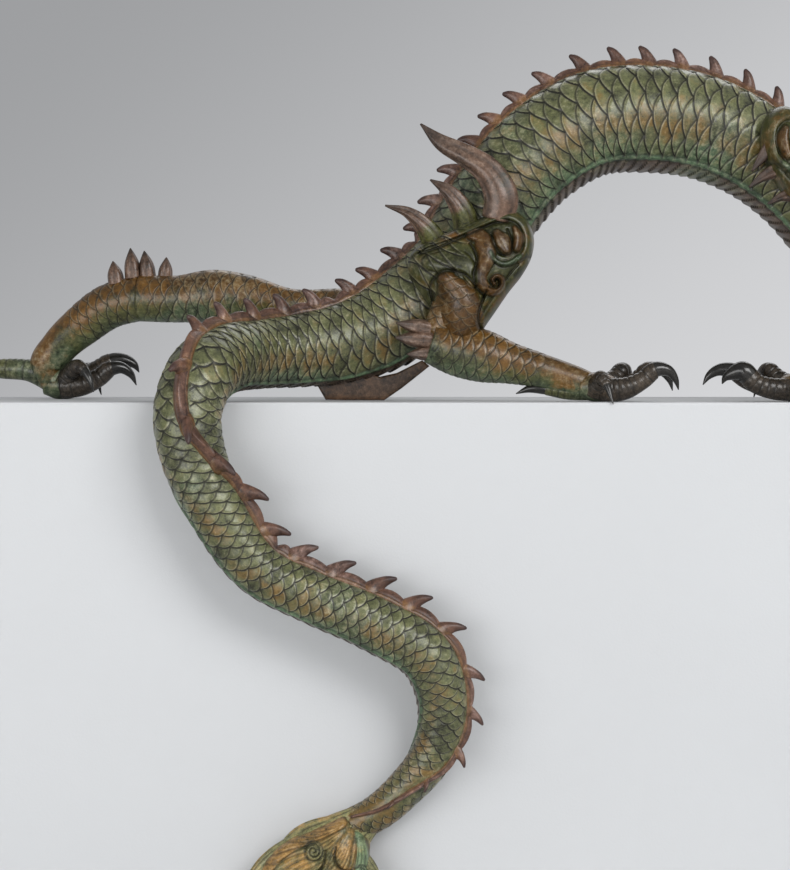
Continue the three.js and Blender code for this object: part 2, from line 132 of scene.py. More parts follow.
def addPiece(name, shells, material):
    # several closed shells as one object at the origin, with their point attributes
    points, quads, triangles, start = [], [], [], 0
    keys = sorted({key for item in shells for key in item["values"]})
    for item in shells:
        points.append(item["points"])
        quads.append(item["quads"] + start)
        triangles.append(item["triangles"] + start)
        start += len(item["points"])
    points = np.concatenate(points)
    quads = np.concatenate(quads)
    triangles = np.concatenate(triangles)
    mesh = bpy.data.meshes.new(name)
    mesh.vertices.add(len(points))
    mesh.vertices.foreach_set("co", points.astype(np.float32).ravel())
    corners = np.concatenate([quads.ravel(), triangles.ravel()]).astype(np.int32)
    mesh.loops.add(len(corners))
    mesh.loops.foreach_set("vertex_index", corners)
    mesh.polygons.add(len(quads) + len(triangles))
    starts = np.concatenate([np.arange(len(quads)) * 4,
                             len(quads) * 4 + np.arange(len(triangles)) * 3])
    mesh.polygons.foreach_set("loop_start", starts.astype(np.int32))
    mesh.update(calc_edges=True)
    mesh.shade_smooth()
    for key in keys:
        width = max(item["values"][key].shape[1] for item in shells if key in item["values"])
        blank = [item["values"].get(key, np.zeros((len(item["points"]), width)))
                 for item in shells]
        kind = "FLOAT" if width == 1 else "FLOAT_VECTOR"
        layer = mesh.attributes.new(key, kind, "POINT")
        field = "value" if width == 1 else "vector"
        layer.data.foreach_set(field, np.concatenate(blank).astype(np.float32).ravel())
    piece = bpy.data.objects.new(name, mesh)
    bpy.context.scene.collection.objects.link(piece)
    mesh.materials.append(material)
    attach(piece, "root")
    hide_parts("dragon")


def triple(a, b, c):
    return np.stack(np.broadcast_arrays(a, b, c), -1)


# shader groups

class Wire:
    # a float socket that can be written in formulas: each operator adds one Math node
    def __init__(self, tree, socket):
        self.tree = tree
        self.socket = socket

    def math(self, operation, *values):
        return mathNode(self.tree, operation, self, *values)

    def __add__(self, other):
        return self.math("ADD", other)

    def __sub__(self, other):
        return self.math("SUBTRACT", other)

    def __rsub__(self, other):
        return mathNode(self.tree, "SUBTRACT", other, self)

    def __mul__(self, other):
        return self.math("MULTIPLY", other)

    def ramp(self, low, high):
        # smooth rise from 0 at low to 1 at high
        node = self.tree.nodes.new("ShaderNodeMapRange")
        node.interpolation_type = "SMOOTHSTEP"
        node.inputs[1].default_value = low
        node.inputs[2].default_value = high
        feed(self.tree, node.inputs[0], self)
        return Wire(self.tree, node.outputs[0])


def feed(tree, socket, value):
    # links a wire or a socket, and sets a number or a colour
    if isinstance(value, Wire):
        tree.links.new(value.socket, socket)
    elif isinstance(value, bpy.types.NodeSocket):
        tree.links.new(value, socket)
    elif isinstance(value, tuple):
        socket.default_value = (*value, 1.0)
    else:
        socket.default_value = value


def mathNode(tree, operation, *values):
    node = tree.nodes.new("ShaderNodeMath")
    node.operation = operation
    for socket, value in zip(node.inputs, values):
        feed(tree, socket, value)
    return Wire(tree, node.outputs[0])


def newGroup(name, inputs, outputs):
    # a group with typed sockets: f is a float, c a colour, v a vector
    tree = bpy.data.node_groups.new(name, "ShaderNodeTree")
    kinds = {"f": "NodeSocketFloat", "c": "NodeSocketColor", "v": "NodeSocketVector"}
    for direction, sockets in (("INPUT", inputs), ("OUTPUT", outputs)):
        for label, kind in sockets.items():
            tree.interface.new_socket(label, in_out=direction, socket_type=kinds[kind])
    return tree, tree.nodes.new("NodeGroupInput"), tree.nodes.new("NodeGroupOutput")


def blendColour(tree, share, first, second):
    node = tree.nodes.new("ShaderNodeMix")
    node.data_type = "RGBA"
    for socket, value in zip((node.inputs[0], *node.inputs[6:8]), (share, first, second)):
        feed(tree, socket, value)
    return node.outputs[2]


def splitVector(tree, vector):
    node = tree.nodes.new("ShaderNodeSeparateXYZ")
    feed(tree, node.inputs[0], vector)
    return [Wire(tree, socket) for socket in node.outputs]


def noiseOf(tree, where, scale, detail, rough):
    node = tree.nodes.new("ShaderNodeTexNoise")
    for label, value in (("Scale", scale), ("Detail", detail), ("Roughness", rough),
                         ("Vector", where)):
        feed(tree, node.inputs[label], value)
    return Wire(tree, node.outputs["Fac"])


def bumpOf(tree, surface, distance, height):
    node = tree.nodes.new("ShaderNodeBump")
    node.inputs["Distance"].default_value = distance
    feed(tree, node.inputs["Height"], height)
    feed(tree, surface.inputs["Normal"], node.outputs[0])


def groupNode(tree, group):
    node = tree.nodes.new("ShaderNodeGroup")
    node.node_tree = group
    return node


def attributeNode(tree, label):
    node = tree.nodes.new("ShaderNodeAttribute")
    node.attribute_name = label
    return node


# groove, root and rim are shares of a scale's length. The groove keeps a least share of its darkness and
# bump on the crest-side half of each free edge and is full on the belly-side half, which is painted shade
# for light from above
lattice = {"columnAngle": 24.0, "sag": 0.5, "bow": 2.1, "groove": (0.07475, 0.1725),
           "softSide": 0.7, "shadedHalfStep": (-0.35, 0.25), "rim": (0.03, 0.13)}


def latticeShares(u, v):
    # two families of staggered scales; each free edge is at u = k + sag * |distance|^bow.
    # Gives the distance headward of the nearest free edge, and the distance to the next one.
    t = np.abs((v + 1.0) % 2.0 - 1.0)
    a = (u - lattice["sag"] * t ** lattice["bow"]) % 1.0
    b = (u + 0.5 - lattice["sag"] * (1.0 - t) ** lattice["bow"]) % 1.0
    return np.minimum(a, b), 1.0 - np.maximum(a, b)


def scaleRise(u, v, bite, blur=(0.0, 0.0)):
    # each scale rises toward its free edge as (1 - behind)^1.15 and has a bite taken out at the
    # next edge's foot; the mean of five points, blur apart, keeps its steps from being jagged
    total = 0.0
    for du, dv in ((-1, -1), (1, -1), (0, 0), (-1, 1), (1, 1)):
        behind, ahead = latticeShares(u + du * blur[0], v + dv * blur[1])
        total = total + (1 - behind) ** 1.15 - bite * (1 - smoothStep(0.0, 0.10, ahead))
    return total / 5


def plainValues(t, a, ochre, teal, dirt=0.0):
    # a surface without scales: only its tone varies
    return {"lattice": triple(t + 0 * a, 0.0, 0.0), "tone": triple(ochre + 0 * a * t, teal, dirt)}


def scaleGroup():
    # the same lattice for the shader: dark grooves with painted shade on their belly-side half, a random
    # value for each scale, the share behind each free edge, and pale rims as a painted highlight
    tree, given, result = newGroup("scaleLattice", {"Lattice": "v"},
                                   {"Groove": "f", "Chance": "f", "Root": "f", "RimHighlight": "f"})
    u, v, mask = splitVector(tree, given.outputs[0])
    t = v.math("PINGPONG", 1.0)
    lineA = u - t.math("POWER", lattice["bow"]) * lattice["sag"]
    lineB = u - (1.0 - t).math("POWER", lattice["bow"]) * lattice["sag"] + 0.5
    a, b = lineA.math("FRACT"), lineB.math("FRACT")
    behind = a.math("MINIMUM", b)
    ahead = 1.0 - a.math("MAXIMUM", b)
    firstOnTop = a.math("LESS_THAN", b)
    columnA = (v * 0.5).math("ROUND") * 2.0
    columnB = (v * 0.5).math("FLOOR") * 2.0 + 1.0

    def ofTopScale(first, second):
        return (first - second) * firstOnTop + second

    # painted shade: the groove is darker, and its bump deeper, along the half of each free edge that faces
    # away from the crest, the half that light from above leaves in shade
    offset = ofTopScale(v - columnB, v - columnA)
    side = offset.ramp(*lattice["shadedHalfStep"]) * (1 - lattice["softSide"]) + lattice["softSide"]
    cell = tree.nodes.new("ShaderNodeCombineXYZ")
    feed(tree, cell.inputs[0], ofTopScale(lineA.math("FLOOR"), lineB.math("FLOOR")))
    feed(tree, cell.inputs[1], ofTopScale(columnA, columnB))
    chance = tree.nodes.new("ShaderNodeTexWhiteNoise")
    chance.noise_dimensions = "2D"
    feed(tree, chance.inputs["Vector"], cell.outputs[0])
    # the pale rim output is a painted highlight along each scale's raised free edge
    for label, value in (("Groove", (1.0 - ahead.ramp(*lattice["groove"])) * side * mask),
                         ("Chance", chance.outputs["Value"]), ("Root", behind * mask),
                         ("RimHighlight", (1.0 - behind.ramp(*lattice["rim"])) * mask)):
        feed(tree, result.inputs[label], value)
    return tree


# noises are scale, detail and roughness; steps are where a smooth rise begins and ends. The rim bloom
# share is a painted highlight on the scale rims, the root shade a painted shade toward each scale's root
patina = {
    "broad": (11.0, 3.0, 0.55), "patch": (42.0, 5.0, 0.62), "speck": (190.0, 6.0, 0.7),
    "fine": (620.0, 3.0, 0.6),
    "tealStep": (0.46, 0.64), "ochreStep": (0.44, 0.66), "bloomStep": (0.50, 0.66),
    "rootStep": (0.35, 1.0), "pitStep": (0.30, 0.42),
    "tealReach": 0.5, "ochreReach": 0.62, "chanceReach": 0.10, "ochrePatch": 0.75,
    "bloomSpeck": 0.6, "rimHighlightShare": 0.38, "pitSoil": 0.55,
    "shadeBase": 0.66, "shadeChance": 0.46, "shadePatch": 2.0, "shadeSpeck": 2.2,
    "shadeFine": 1.2, "shadeLeast": 0.12, "rootShade": 0.58,
    "roughBase": 0.21, "roughSpeck": 0.24, "roughSoil": 0.25,
    "heightFine": 0.25, "heightSpeck": 0.5, "heightGroove": 1.6,
}


def patinaGroup():
    # base colours mottled by noise: verdigris, ochre and pale bloom with a painted highlight on the scale
    # rims, painted shade toward each scale's root, then dirt in hollows, with the grooves' belly-side
    # halves as painted shade
    tree, given, result = newGroup(
        "patina",
        {"Where": "v", "Green": "c", "Teal": "c", "Ochre": "c", "BloomAndHighlight": "c", "DirtAndShade": "c",
         "Ochre share": "f", "Teal share": "f", "Chance": "f", "Groove": "f", "Bloom share": "f",
         "Root": "f", "RimHighlight": "f"},
        {"Color": "c", "Roughness": "f", "Height": "f"})
    shares = {label: Wire(tree, given.outputs[label])
              for label in ("Ochre share", "Teal share", "Chance", "Groove", "Bloom share", "Root",
                            "RimHighlight")}
    colours = {label: given.outputs[label] for label in ("Green", "Teal", "Ochre", "BloomAndHighlight", "DirtAndShade")}
    broad, patch, speck, fine = (noiseOf(tree, given.outputs["Where"], *patina[label])
                                 for label in ("broad", "patch", "speck", "fine"))

    teal = (broad + (shares["Teal share"] - 0.5) * patina["tealReach"]).ramp(*patina["tealStep"])
    colour = blendColour(tree, teal, colours["Green"], colours["Teal"])
    wander = patch * patina["ochrePatch"] + speck * (1 - patina["ochrePatch"])
    ochre = (wander + (shares["Ochre share"] - 0.5) * patina["ochreReach"]
             + (shares["Chance"] - 0.5) * patina["chanceReach"]).ramp(*patina["ochreStep"])
    colour = blendColour(tree, ochre, colour, colours["Ochre"])
    bloom = (speck * patina["bloomSpeck"] + broad * (1 - patina["bloomSpeck"])).ramp(
        *patina["bloomStep"]) * shares["Bloom share"]
    # painted highlight: the pale bloom colour is laid along each scale's raised free edge
    bloom = bloom.math("MAXIMUM", shares["RimHighlight"] * patina["rimHighlightShare"])
    colour = blendColour(tree, bloom, colour, colours["BloomAndHighlight"])

    shade = shares["Chance"] * patina["shadeChance"] + patina["shadeBase"]
    for noise, label in ((patch, "shadePatch"), (speck, "shadeSpeck"), (fine, "shadeFine")):
        shade = shade + (noise - 0.5) * patina[label]
    # painted shade: each scale darkens toward its root, where it tucks under the free edge of the next
    rootShadeFactor = 1.0 - shares["Root"].ramp(*patina["rootStep"]) * patina["rootShade"]
    darken = tree.nodes.new("ShaderNodeVectorMath")
    darken.operation = "SCALE"
    feed(tree, darken.inputs[0], colour)
    feed(tree, darken.inputs[3], shade.math("MAXIMUM", patina["shadeLeast"]) * rootShadeFactor)
    pits = (1.0 - speck.ramp(*patina["pitStep"])) * patina["pitSoil"]
    # dark share: patina in grooves and pits, plus the painted shade on each groove's belly-side half
    darkShare = shares["Groove"].math("MAXIMUM", pits)
    feed(tree, result.inputs["Color"], blendColour(tree, darkShare, darken.outputs[0], colours["DirtAndShade"]))
    feed(tree, result.inputs["Roughness"],
         speck * patina["roughSpeck"] + patina["roughBase"] + darkShare * patina["roughSoil"])
    feed(tree, result.inputs["Height"],
         fine * patina["heightFine"] + speck * patina["heightSpeck"]
         - shares["Groove"] * patina["heightGroove"])
    return tree


scaleTree = scaleGroup()
patinaTree = patinaGroup()

bronze = {"metallic": 0.06, "specular": 0.42, "coatRoughness": 0.28}

# every bronze starts from the trunk's colours; the dirt colour also serves as painted shade in the
# grooves, and the bloom colour as painted highlight on the scale rims
trunkColours = {"Green": (0.128, 0.136, 0.058), "Teal": (0.086, 0.142, 0.074),
                "Ochre": (0.128, 0.078, 0.020), "BloomAndHighlight": (0.30, 0.285, 0.19),
                "DirtAndShade": (0.009, 0.008, 0.003)}


def bronzeMaterial(name, colours, coat=0.12, bump=0.0004, bloom=0.5, gloss=0.0, bellyColour=None):
    # patina over a Principled surface; tone = (ochre, teal, dirt) and lattice come from the piece
    material = bpy.data.materials.new(name)
    material.use_nodes = True
    tree = material.node_tree
    surface = tree.nodes["Principled BSDF"]
    where = tree.nodes.new("ShaderNodeTexCoord").outputs["Object"]
    scales, layer = groupNode(tree, scaleTree), groupNode(tree, patinaTree)
    feed(tree, scales.inputs[0], attributeNode(tree, "lattice").outputs["Vector"])
    ochre, teal, dirt = splitVector(tree, attributeNode(tree, "tone").outputs["Vector"])
    groove = Wire(tree, scales.outputs["Groove"]).math("MAXIMUM", dirt)
    given = {**trunkColours, **colours, "Where": where, "Ochre share": ochre, "Teal share": teal,
             "Groove": groove, "Bloom share": bloom}
    for label in ("Chance", "Root", "RimHighlight"):
        given[label] = scales.outputs[label]
    if bellyColour:
        skin = attributeNode(tree, "skin").outputs["Fac"]
        for label in ("Green", "Ochre"):
            given[label] = blendColour(tree, skin, given[label], bellyColour)
    for label, value in given.items():
        feed(tree, layer.inputs[label], value)
    rough = Wire(tree, layer.outputs["Roughness"]) * (1.0 - gloss)
    for label, value in (("Base Color", layer.outputs["Color"]), ("Roughness", rough),
                         ("Metallic", bronze["metallic"]), ("Coat Weight", coat),
                         ("Specular IOR Level", bronze["specular"]),
                         ("Coat Roughness", bronze["coatRoughness"])):
        feed(tree, surface.inputs[label], value)
    bumpOf(tree, surface, bump, layer.outputs["Height"])
    return material


scaleBronze = bronzeMaterial("scaleBronze", {}, coat=0.24, bellyColour=(0.115, 0.080, 0.058))
limbBronze = bronzeMaterial("limbBronze", {
    "Green": (0.105, 0.105, 0.036), "Teal": (0.080, 0.110, 0.055), "Ochre": (0.112, 0.053, 0.009)},
    bloom=0.35)
haunchBronze = bronzeMaterial("haunchBronze", {
    "Green": (0.052, 0.056, 0.015), "Teal": (0.048, 0.072, 0.032), "Ochre": (0.080, 0.036, 0.006)},
    bloom=0.3)
tuftBronze = bronzeMaterial("tuftBronze", {
    "Green": (0.27, 0.26, 0.11), "Teal": (0.19, 0.27, 0.14), "Ochre": (0.36, 0.205, 0.060)},
    bloom=0.35)
ridgeBronze = bronzeMaterial("ridgeBronze", {
    "Green": (0.125, 0.062, 0.040), "Teal": (0.155, 0.085, 0.062), "Ochre": (0.15, 0.075, 0.030),
    "BloomAndHighlight": (0.34, 0.24, 0.21), "DirtAndShade": (0.028, 0.013, 0.013)}, bloom=0.35)
flameBronze = bronzeMaterial("flameBronze", {
    "Green": (0.105, 0.108, 0.030), "Teal": (0.12, 0.13, 0.05), "Ochre": (0.150, 0.088, 0.058),
    "BloomAndHighlight": (0.30, 0.25, 0.20), "DirtAndShade": (0.020, 0.012, 0.008)}, bloom=0.3)
clawBronze = bronzeMaterial("clawBronze", {
    "Green": (0.020, 0.018, 0.015), "Teal": (0.014, 0.014, 0.013), "Ochre": (0.035, 0.024, 0.014),
    "BloomAndHighlight": (0.07, 0.065, 0.055), "DirtAndShade": (0.006, 0.005, 0.004)}, coat=0.35, bloom=0.15, gloss=0.45,
    bump=0.0002)
toeBronze = bronzeMaterial("toeBronze", {
    "Green": (0.055, 0.042, 0.030), "Teal": (0.035, 0.030, 0.024), "Ochre": (0.085, 0.052, 0.024),
    "BloomAndHighlight": (0.16, 0.13, 0.10), "DirtAndShade": (0.010, 0.008, 0.006)}, bloom=0.2, gloss=0.2)
finBronze = bronzeMaterial("finBronze", {
    "Green": (0.095, 0.052, 0.028), "Teal": (0.075, 0.040, 0.022), "Ochre": (0.12, 0.060, 0.026),
    "BloomAndHighlight": (0.22, 0.16, 0.11), "DirtAndShade": (0.016, 0.009, 0.005)}, bloom=0.25)
print("materials ready")

# trunk
# rows from the tail tuft to the back of the head: x, depth, height, radius, ridge direction
trunkRows = [
  [-212, -30, -419, 16.5, 0.10, -0.75, 0.65],
  [-190, -32, -408, 17.8, 0.10, -0.90, 0.40],
  [-163, -34, -385, 18.9, 0.25, -1.00, 0.10],
  [-129, -38, -339, 22.4, 0.85, -0.50, -0.10],
  [-123, -42, -301, 24.6, 1.00, -0.05, 0.05],
  [-136, -46, -254, 27.2, 0.85, 0.00, 0.50],
  [-193, -46, -216, 27.6, 0.40, 0.00, 0.90],
  [-251, -46, -191, 26.3, 0.40, 0.00, 0.90],
  [-303, -46, -164, 26.2, 0.60, -0.05, 0.80],
  [-347, -47, -100, 29.6, 0.85, -0.25, 0.40],
  [-369, -47, -49, 32.4, 0.45, -0.90, 0.10],
  [-374, -45, -10, 33.6, -0.12, -1.00, 0.00],
  [-364, -31, 24, 34.6, -0.40, -0.85, 0.40],
  [-347, 4, 41, 35.0, -0.40, -0.45, 0.80],
  [-308, 55, 49, 35.3, -0.15, -0.15, 1.00],
  [-268, 82, 53, 38.0, 0.00, 0.00, 1.00],
  [-229, 96, 59, 41.0, 0.00, 0.00, 1.00],
  [-190, 105, 72, 44.2, -0.20, 0.05, 1.00],
  [-144, 110, 102, 47.0, -0.55, 0.10, 0.80],
  [-108, 112, 135, 48.5, -0.75, 0.10, 0.65],
  [-71, 115, 195, 49.5, -0.82, 0.10, 0.55],
  [-22, 115, 254, 52.0, -0.65, 0.12, 0.75],
  [37, 115, 288.5, 54.0, -0.25, 0.12, 1.00],
  [96, 115, 293, 54.8, 0.00, 0.12, 1.00],
  [149, 115, 284.5, 53.2, 0.20, 0.12, 1.00],
  [201, 115, 260.5, 50.0, 0.50, 0.10, 0.87],
  [246, 116, 223, 45.5, 0.78, 0.10, 0.62],
  [286, 118, 176, 44.5, 0.78, 0.10, 0.62],
  [325, 120, 124, 46.0, 0.62, 0.10, 0.78],
  [375, 120, 88, 46.0, 0.25, 0.05, 1.00],
  [430, 118, 86, 44.0, -0.25, 0.00, 1.00],
  [474, 115, 114, 41.0, -0.80, 0.00, 0.60],
  [496, 112, 162, 38.0, -1.00, 0.00, 0.20],
  [502, 108, 214, 36.0, -1.00, 0.00, 0.05],
  [514, 104, 262, 35.0, -0.90, 0.00, 0.40],
  [533, 100, 298, 36.0, -0.50, 0.00, 0.90],
  [565, 98, 311, 36.0, 0.00, 0.00, 1.00],
]

trunk = {
    "reliefHeight": 2.4, "meanRise": 0.62, "bite": 0.7, "blur": (0.0306, 0.0255),
    "crestHalfWidth": 8.0, "bellyAngle": 148.0, "rimHeight": 1.5, "rimWidth": 2.2,
    "scuteHeight": 2.0, "scutePitch": 13.7, "scuteSlant": 34.0, "fullRadius": 45.0,
    "leastSize": 0.45, "closing": [0.12, 0.8, 4.0],
    # scale pitch and extra ochre at a distance from the tuft
    "pitchAt": ([0, 90, 300, 620, 800, 1000, 1500, 1940],
                [9.5, 11.5, 13.0, 13.8, 15.0, 15.6, 15.0, 13.5]),
    "warmAt": ([0, 60, 200, 620, 900, 1200, 1940], [0.35, 0.22, 0.0, 0.0, 0.05, 0.0, 0.05]),
}

denseRows = smoothRows(trunkRows, 4001)
denseCentres = place(denseRows)
denseLengths = lengthAlong(denseCentres) / mm
trunkLength = denseLengths[-1]
denseTangents, denseRidges, denseSides = framesAlong(denseCentres, denseRows[:, 4:7])
densePitch = np.interp(denseLengths, *trunk["pitchAt"])
denseCount = np.concatenate([[0.0], np.cumsum(np.diff(denseLengths) / densePitch[1:])])


def stationAt(distance):
    # centre, tangent, ridge, side, radius and scale count at a distance (mm) from the tuft
    def pick(table):
        return np.stack([np.interp(distance, denseLengths, column) for column in table.T], -1)

    return (pick(denseCentres), unit(pick(denseTangents)), unit(pick(denseRidges)),
            unit(pick(denseSides)), np.interp(distance, denseLengths, denseRows[:, 3]),
            np.interp(distance, denseLengths, denseCount))


def trunkRelief(distance, count, angle, radius):
    # scales between crest and belly, a rounded rim, then saw-toothed slanting scutes below
    bite = trunk["bite"] / trunk["reliefHeight"]
    rise = scaleRise(count, np.abs(angle) / lattice["columnAngle"], bite, trunk["blur"])
    slim = np.clip(radius / trunk["fullRadius"], trunk["leastSize"], 1.0)
    fromCrest = np.radians(np.abs(angle)) * radius - trunk["crestHalfWidth"]
    past = np.abs(angle) - trunk["bellyAngle"]
    scaly = smoothStep(-1.0, 1.5, fromCrest) * (1 - smoothStep(-3.0, -0.5, past))
    height = (rise - trunk["meanRise"]) * trunk["reliefHeight"] * scaly * slim
    fromRim = np.radians(past) * radius
    height += trunk["rimHeight"] * np.exp(-(fromRim / trunk["rimWidth"]) ** 2)
    belly = smoothStep(1.5, 3.5, fromRim)
    phase = (distance / trunk["scutePitch"] + np.abs(angle) / trunk["scuteSlant"]) % 1.0
    tooth = np.minimum((1 - phase) * 1.06, phase * 12)
    height += belly * (tooth - 0.25) * trunk["scuteHeight"] * slim
    return height, scaly, belly, phase, fromRim


def trunkTone(distance, angle, belly, phase, fromRim):
    # ochre on the flanks, teal on the rim and below, dirt beside the rim and between scutes
    rim = np.exp(-(fromRim / 3.0) ** 2)
    low = smoothStep(95, 150, np.abs(angle))
    ochre = 0.34 + 0.26 * np.exp(-((np.abs(angle) - 108) / 24) ** 2) - 0.25 * rim - 0.1 * low
    ochre = ochre + np.interp(distance, *trunk["warmAt"]) + belly * 0.15
    teal = 0.30 + 0.55 * rim + 0.25 * low * (1 - belly)
    dirt = belly * (1 - smoothStep(0.06, 0.16, phase)) * 0.95
    for share, middle in ((0.75, 4.2), (0.45, -3.4)):
        dirt = np.maximum(dirt, share * np.exp(-((fromRim - middle) / 1.2) ** 2))
    return triple(ochre, teal, dirt)


def trunkPiece(name, first, last, pitch, around):
    # a round section carried along the trunk: centre + (radius + relief) * (ridge cos + side sin).
    # Three rows past each joint draw in a little and close the end under its neighbour.
    rows = int((last - first) / pitch) + 1
    distance = np.linspace(first, last, rows)
    step = distance[1] - distance[0]
    inset = np.zeros(rows)
    if first > 0:
        distance = np.concatenate([first - step * np.array([3, 2, 1]), distance])
        inset = np.concatenate([trunk["closing"][::-1], inset])
    if last < trunkLength:
        distance = np.concatenate([distance, last + step * np.array([1, 2, 3])])
        inset = np.concatenate([inset, trunk["closing"]])
    centre, tangent, ridgeward, side, radius, count = stationAt(distance)
    angle = np.linspace(0, 360, around, endpoint=False)
    angle = np.where(angle > 180, angle - 360, angle)[None]
    far = distance[:, None]
    height, scaly, belly, phase, fromRim = trunkRelief(far, count[:, None], angle, radius[:, None])
    reach = ((radius - inset)[:, None] + height) * mm
    turn = np.radians(angle)[..., None]
    points = centre[:, None] + reach[..., None] * (ridgeward[:, None] * np.cos(turn)
                                                   + side[:, None] * np.sin(turn))
    columns = np.abs(angle) / lattice["columnAngle"]
    addPiece(name, [shell(points, {"lattice": triple(count[:, None], columns, scaly),
                                   "tone": trunkTone(far, angle, belly, phase, fromRim),
                                   "skin": belly})], scaleBronze)


# first and last distance from the tuft, pitch of the rows in mm, points around
trunkPieces = {"trunkTail": (0, 600, 1.8, 112), "trunkHip": (600, 1120, 1.75, 180),
               "trunkArch": (1120, 1520, 1.65, 192), "trunkNeck": (1520, trunkLength, 2.0, 150)}
for name, plan in trunkPieces.items():
    trunkPiece(name, *plan)
print("trunk ready", round(trunkLength), "mm")

# ridge: humps and hooked spikes
# runs of spikes: first and last distance from the tuft, count
spikeRuns = [
  [48, 86, 2],
  [121, 251, 5],
  [289, 374, 3],
  [427, 474, 2],
  [515, 600, 3],
  [636, 790, 5],
  [843, 922, 3],
  [978, 1074, 4],
  [1097, 1228, 6],
  [1256, 1341, 4],
  [1369, 1481, 5],
  [1519, 1885, 10],
]

ridge = {"foot": 7.5, "base": 2.5, "hump": 9.0, "rise": 23.5, "length": 18.5, "width": 12.0,
         "lean": 11.5, "tailLean": 18.0, "tailEnd": 620.0, "bead": 0.35,
         "start": 4.0, "stop": 6.0, "step": 2.4, "lobe": 34.0, "over": 21, "under": 6,
         "spikeRows": 17, "spikeEnd": 0.995, "spikeAround": 16, "sink": 2.0, "round": 0.80}

spikeDistances = np.concatenate([np.linspace(*run) for run in spikeRuns])


def spikeSize(distance):
    # spikes start as low lumps beside the tuft and reach full size along the first curve
    return np.interp(distance, [0, 40, 90, 121, 200, 260], [0.2, 0.34, 0.42, 0.62, 0.85, 1.0])


def ridgeStrip():
    # over the crest the height falls as (1 - |w|^1.5)^0.8 from the hump line to the foot.
    # The hump line is one rounded arch between each two spikes, low where a spike stands.
    distance = np.arange(ridge["start"], trunkLength - ridge["stop"], ridge["step"])
    centre, tangent, up, side, radius, count = stationAt(distance)
    marks = np.concatenate([[ridge["start"]], spikeDistances, [trunkLength]])
    cell = np.interp(distance, marks, np.arange(len(marks)))
    share = cell % 1.0
    gaps = np.diff(marks)[np.minimum(cell.astype(int), len(marks) - 2)]
    lobes = np.maximum(1, np.round(gaps / ridge["lobe"]))
    arch = np.abs(np.sin(np.pi * share * lobes)) ** 0.8
    size = spikeSize(distance)
    top = (ridge["base"] + (ridge["hump"] - ridge["base"]) * arch) * size
    w = np.concatenate([np.linspace(-1, 1, ridge["over"]),
                        np.linspace(0.9, -0.9, ridge["under"])])[None]
    over = np.arange(ridge["over"] + ridge["under"])[None] < ridge["over"]
    half = (ridge["foot"] * size)[:, None]
    rounded = np.sign(w) * np.abs(w) ** 1.15
    profile = top[:, None] * (1 - np.abs(w) ** 1.5) ** 0.8
    bead = ridge["bead"] * np.exp(-((np.abs(w) - 0.93) / 0.06) ** 2)
    sag = radius[:, None] * (np.cos(np.minimum(half / radius[:, None], 1.2) * np.abs(w)) - 1)
    rise = np.where(over, profile + bead + 0.6, -3.0) + sag
    points = (centre[:, None] + ((radius[:, None] + rise)[..., None] * up[:, None]
              + (half * rounded)[..., None] * side[:, None]) * mm)
    low = np.exp(-((np.abs(w) - 0.90) / 0.14) ** 2)
    dirt = 0.55 * np.exp(-((np.abs(w) - 0.78) / 0.08) ** 2) + 0.35 * (1 - arch[:, None]) ** 2
    values = {"lattice": triple(distance[:, None] / 40, w, 0.0),
              "tone": triple(0.35 + 0.5 * low, 0.45 - 0.3 * low, dirt)}
    return shell(points, values)


def spikeShell(distance):
    # a shark's-fin hook: its middle line runs up and bends toward the tail as share^1.7,
    # its length shrinks to a blunt end, its section is a pointed oval
    centre, tangent, up, side, radius, count = (np.asarray(v) for v in stationAt(distance))
    size = float(spikeSize(distance))
    onTail = 1 - smoothStep(ridge["tailEnd"] - 40, ridge["tailEnd"] + 40, distance)
    lean = (ridge["lean"] + (ridge["tailLean"] - ridge["lean"]) * onTail) * size
    t = np.linspace(0, ridge["spikeEnd"], ridge["spikeRows"])
    height = (-ridge["sink"] + (ridge["rise"] + 1.2) * t ** 0.9) * size
    back = lean * t ** 1.7 - 1.0 * size
    long = ridge["length"] * size * (1 + 0.18 * onTail)
    end = np.sqrt(1 - np.clip((t - ridge["round"]) / (1 - ridge["round"]), 0, 1) ** 2)
    halfLong = long / 2 * (1 - 0.54 * t ** 1.1) * end
    halfWide = ridge["width"] * size / 2 * (1 - 0.55 * t ** 1.1) * end
    flare = 1 + 0.35 * np.exp(-(t / 0.2) ** 2)
    a = np.radians(np.linspace(0, 360, ridge["spikeAround"], endpoint=False))[None]
    alongBody = (np.cos(a) * (halfLong * flare)[:, None]) - back[:, None]
    across = np.sin(a) * np.abs(np.sin(a)) ** 0.15 * (halfWide * flare)[:, None]
    points = (centre + ((radius + height)[:, None, None] * up + alongBody[..., None] * tangent
              + across[..., None] * side) * mm)
    rear = np.clip(-np.cos(a), 0, 1) * smoothStep(0.25, 0.6, t)[:, None]
    tip = smoothStep(0.62, 0.95, t)[:, None]
    root = 1 - smoothStep(0.10, 0.42, t)[:, None]
    values = {"lattice": triple(distance / 40 + t[:, None] * 0.01, 0 * a, 0.0),
              "tone": triple(0.30 + 0.5 * root, 0.55 - 0.3 * root - 0.3 * tip,
                             np.maximum(0.75 * rear, 0.8 * tip))}
    return shell(points, values)


addPiece("ridgeStrip", [ridgeStrip()], ridgeBronze)
addPiece("ridgeSpikes", [spikeShell(d) for d in spikeDistances], ridgeBronze)
print("ridge ready", len(spikeDistances), "spikes")


# limbs

# least half-thickness in mm, least share of it at a closed end, least reach of that end in mm
sweep = {"least": 0.25, "leastCap": 0.003, "leastReach": 0.5}


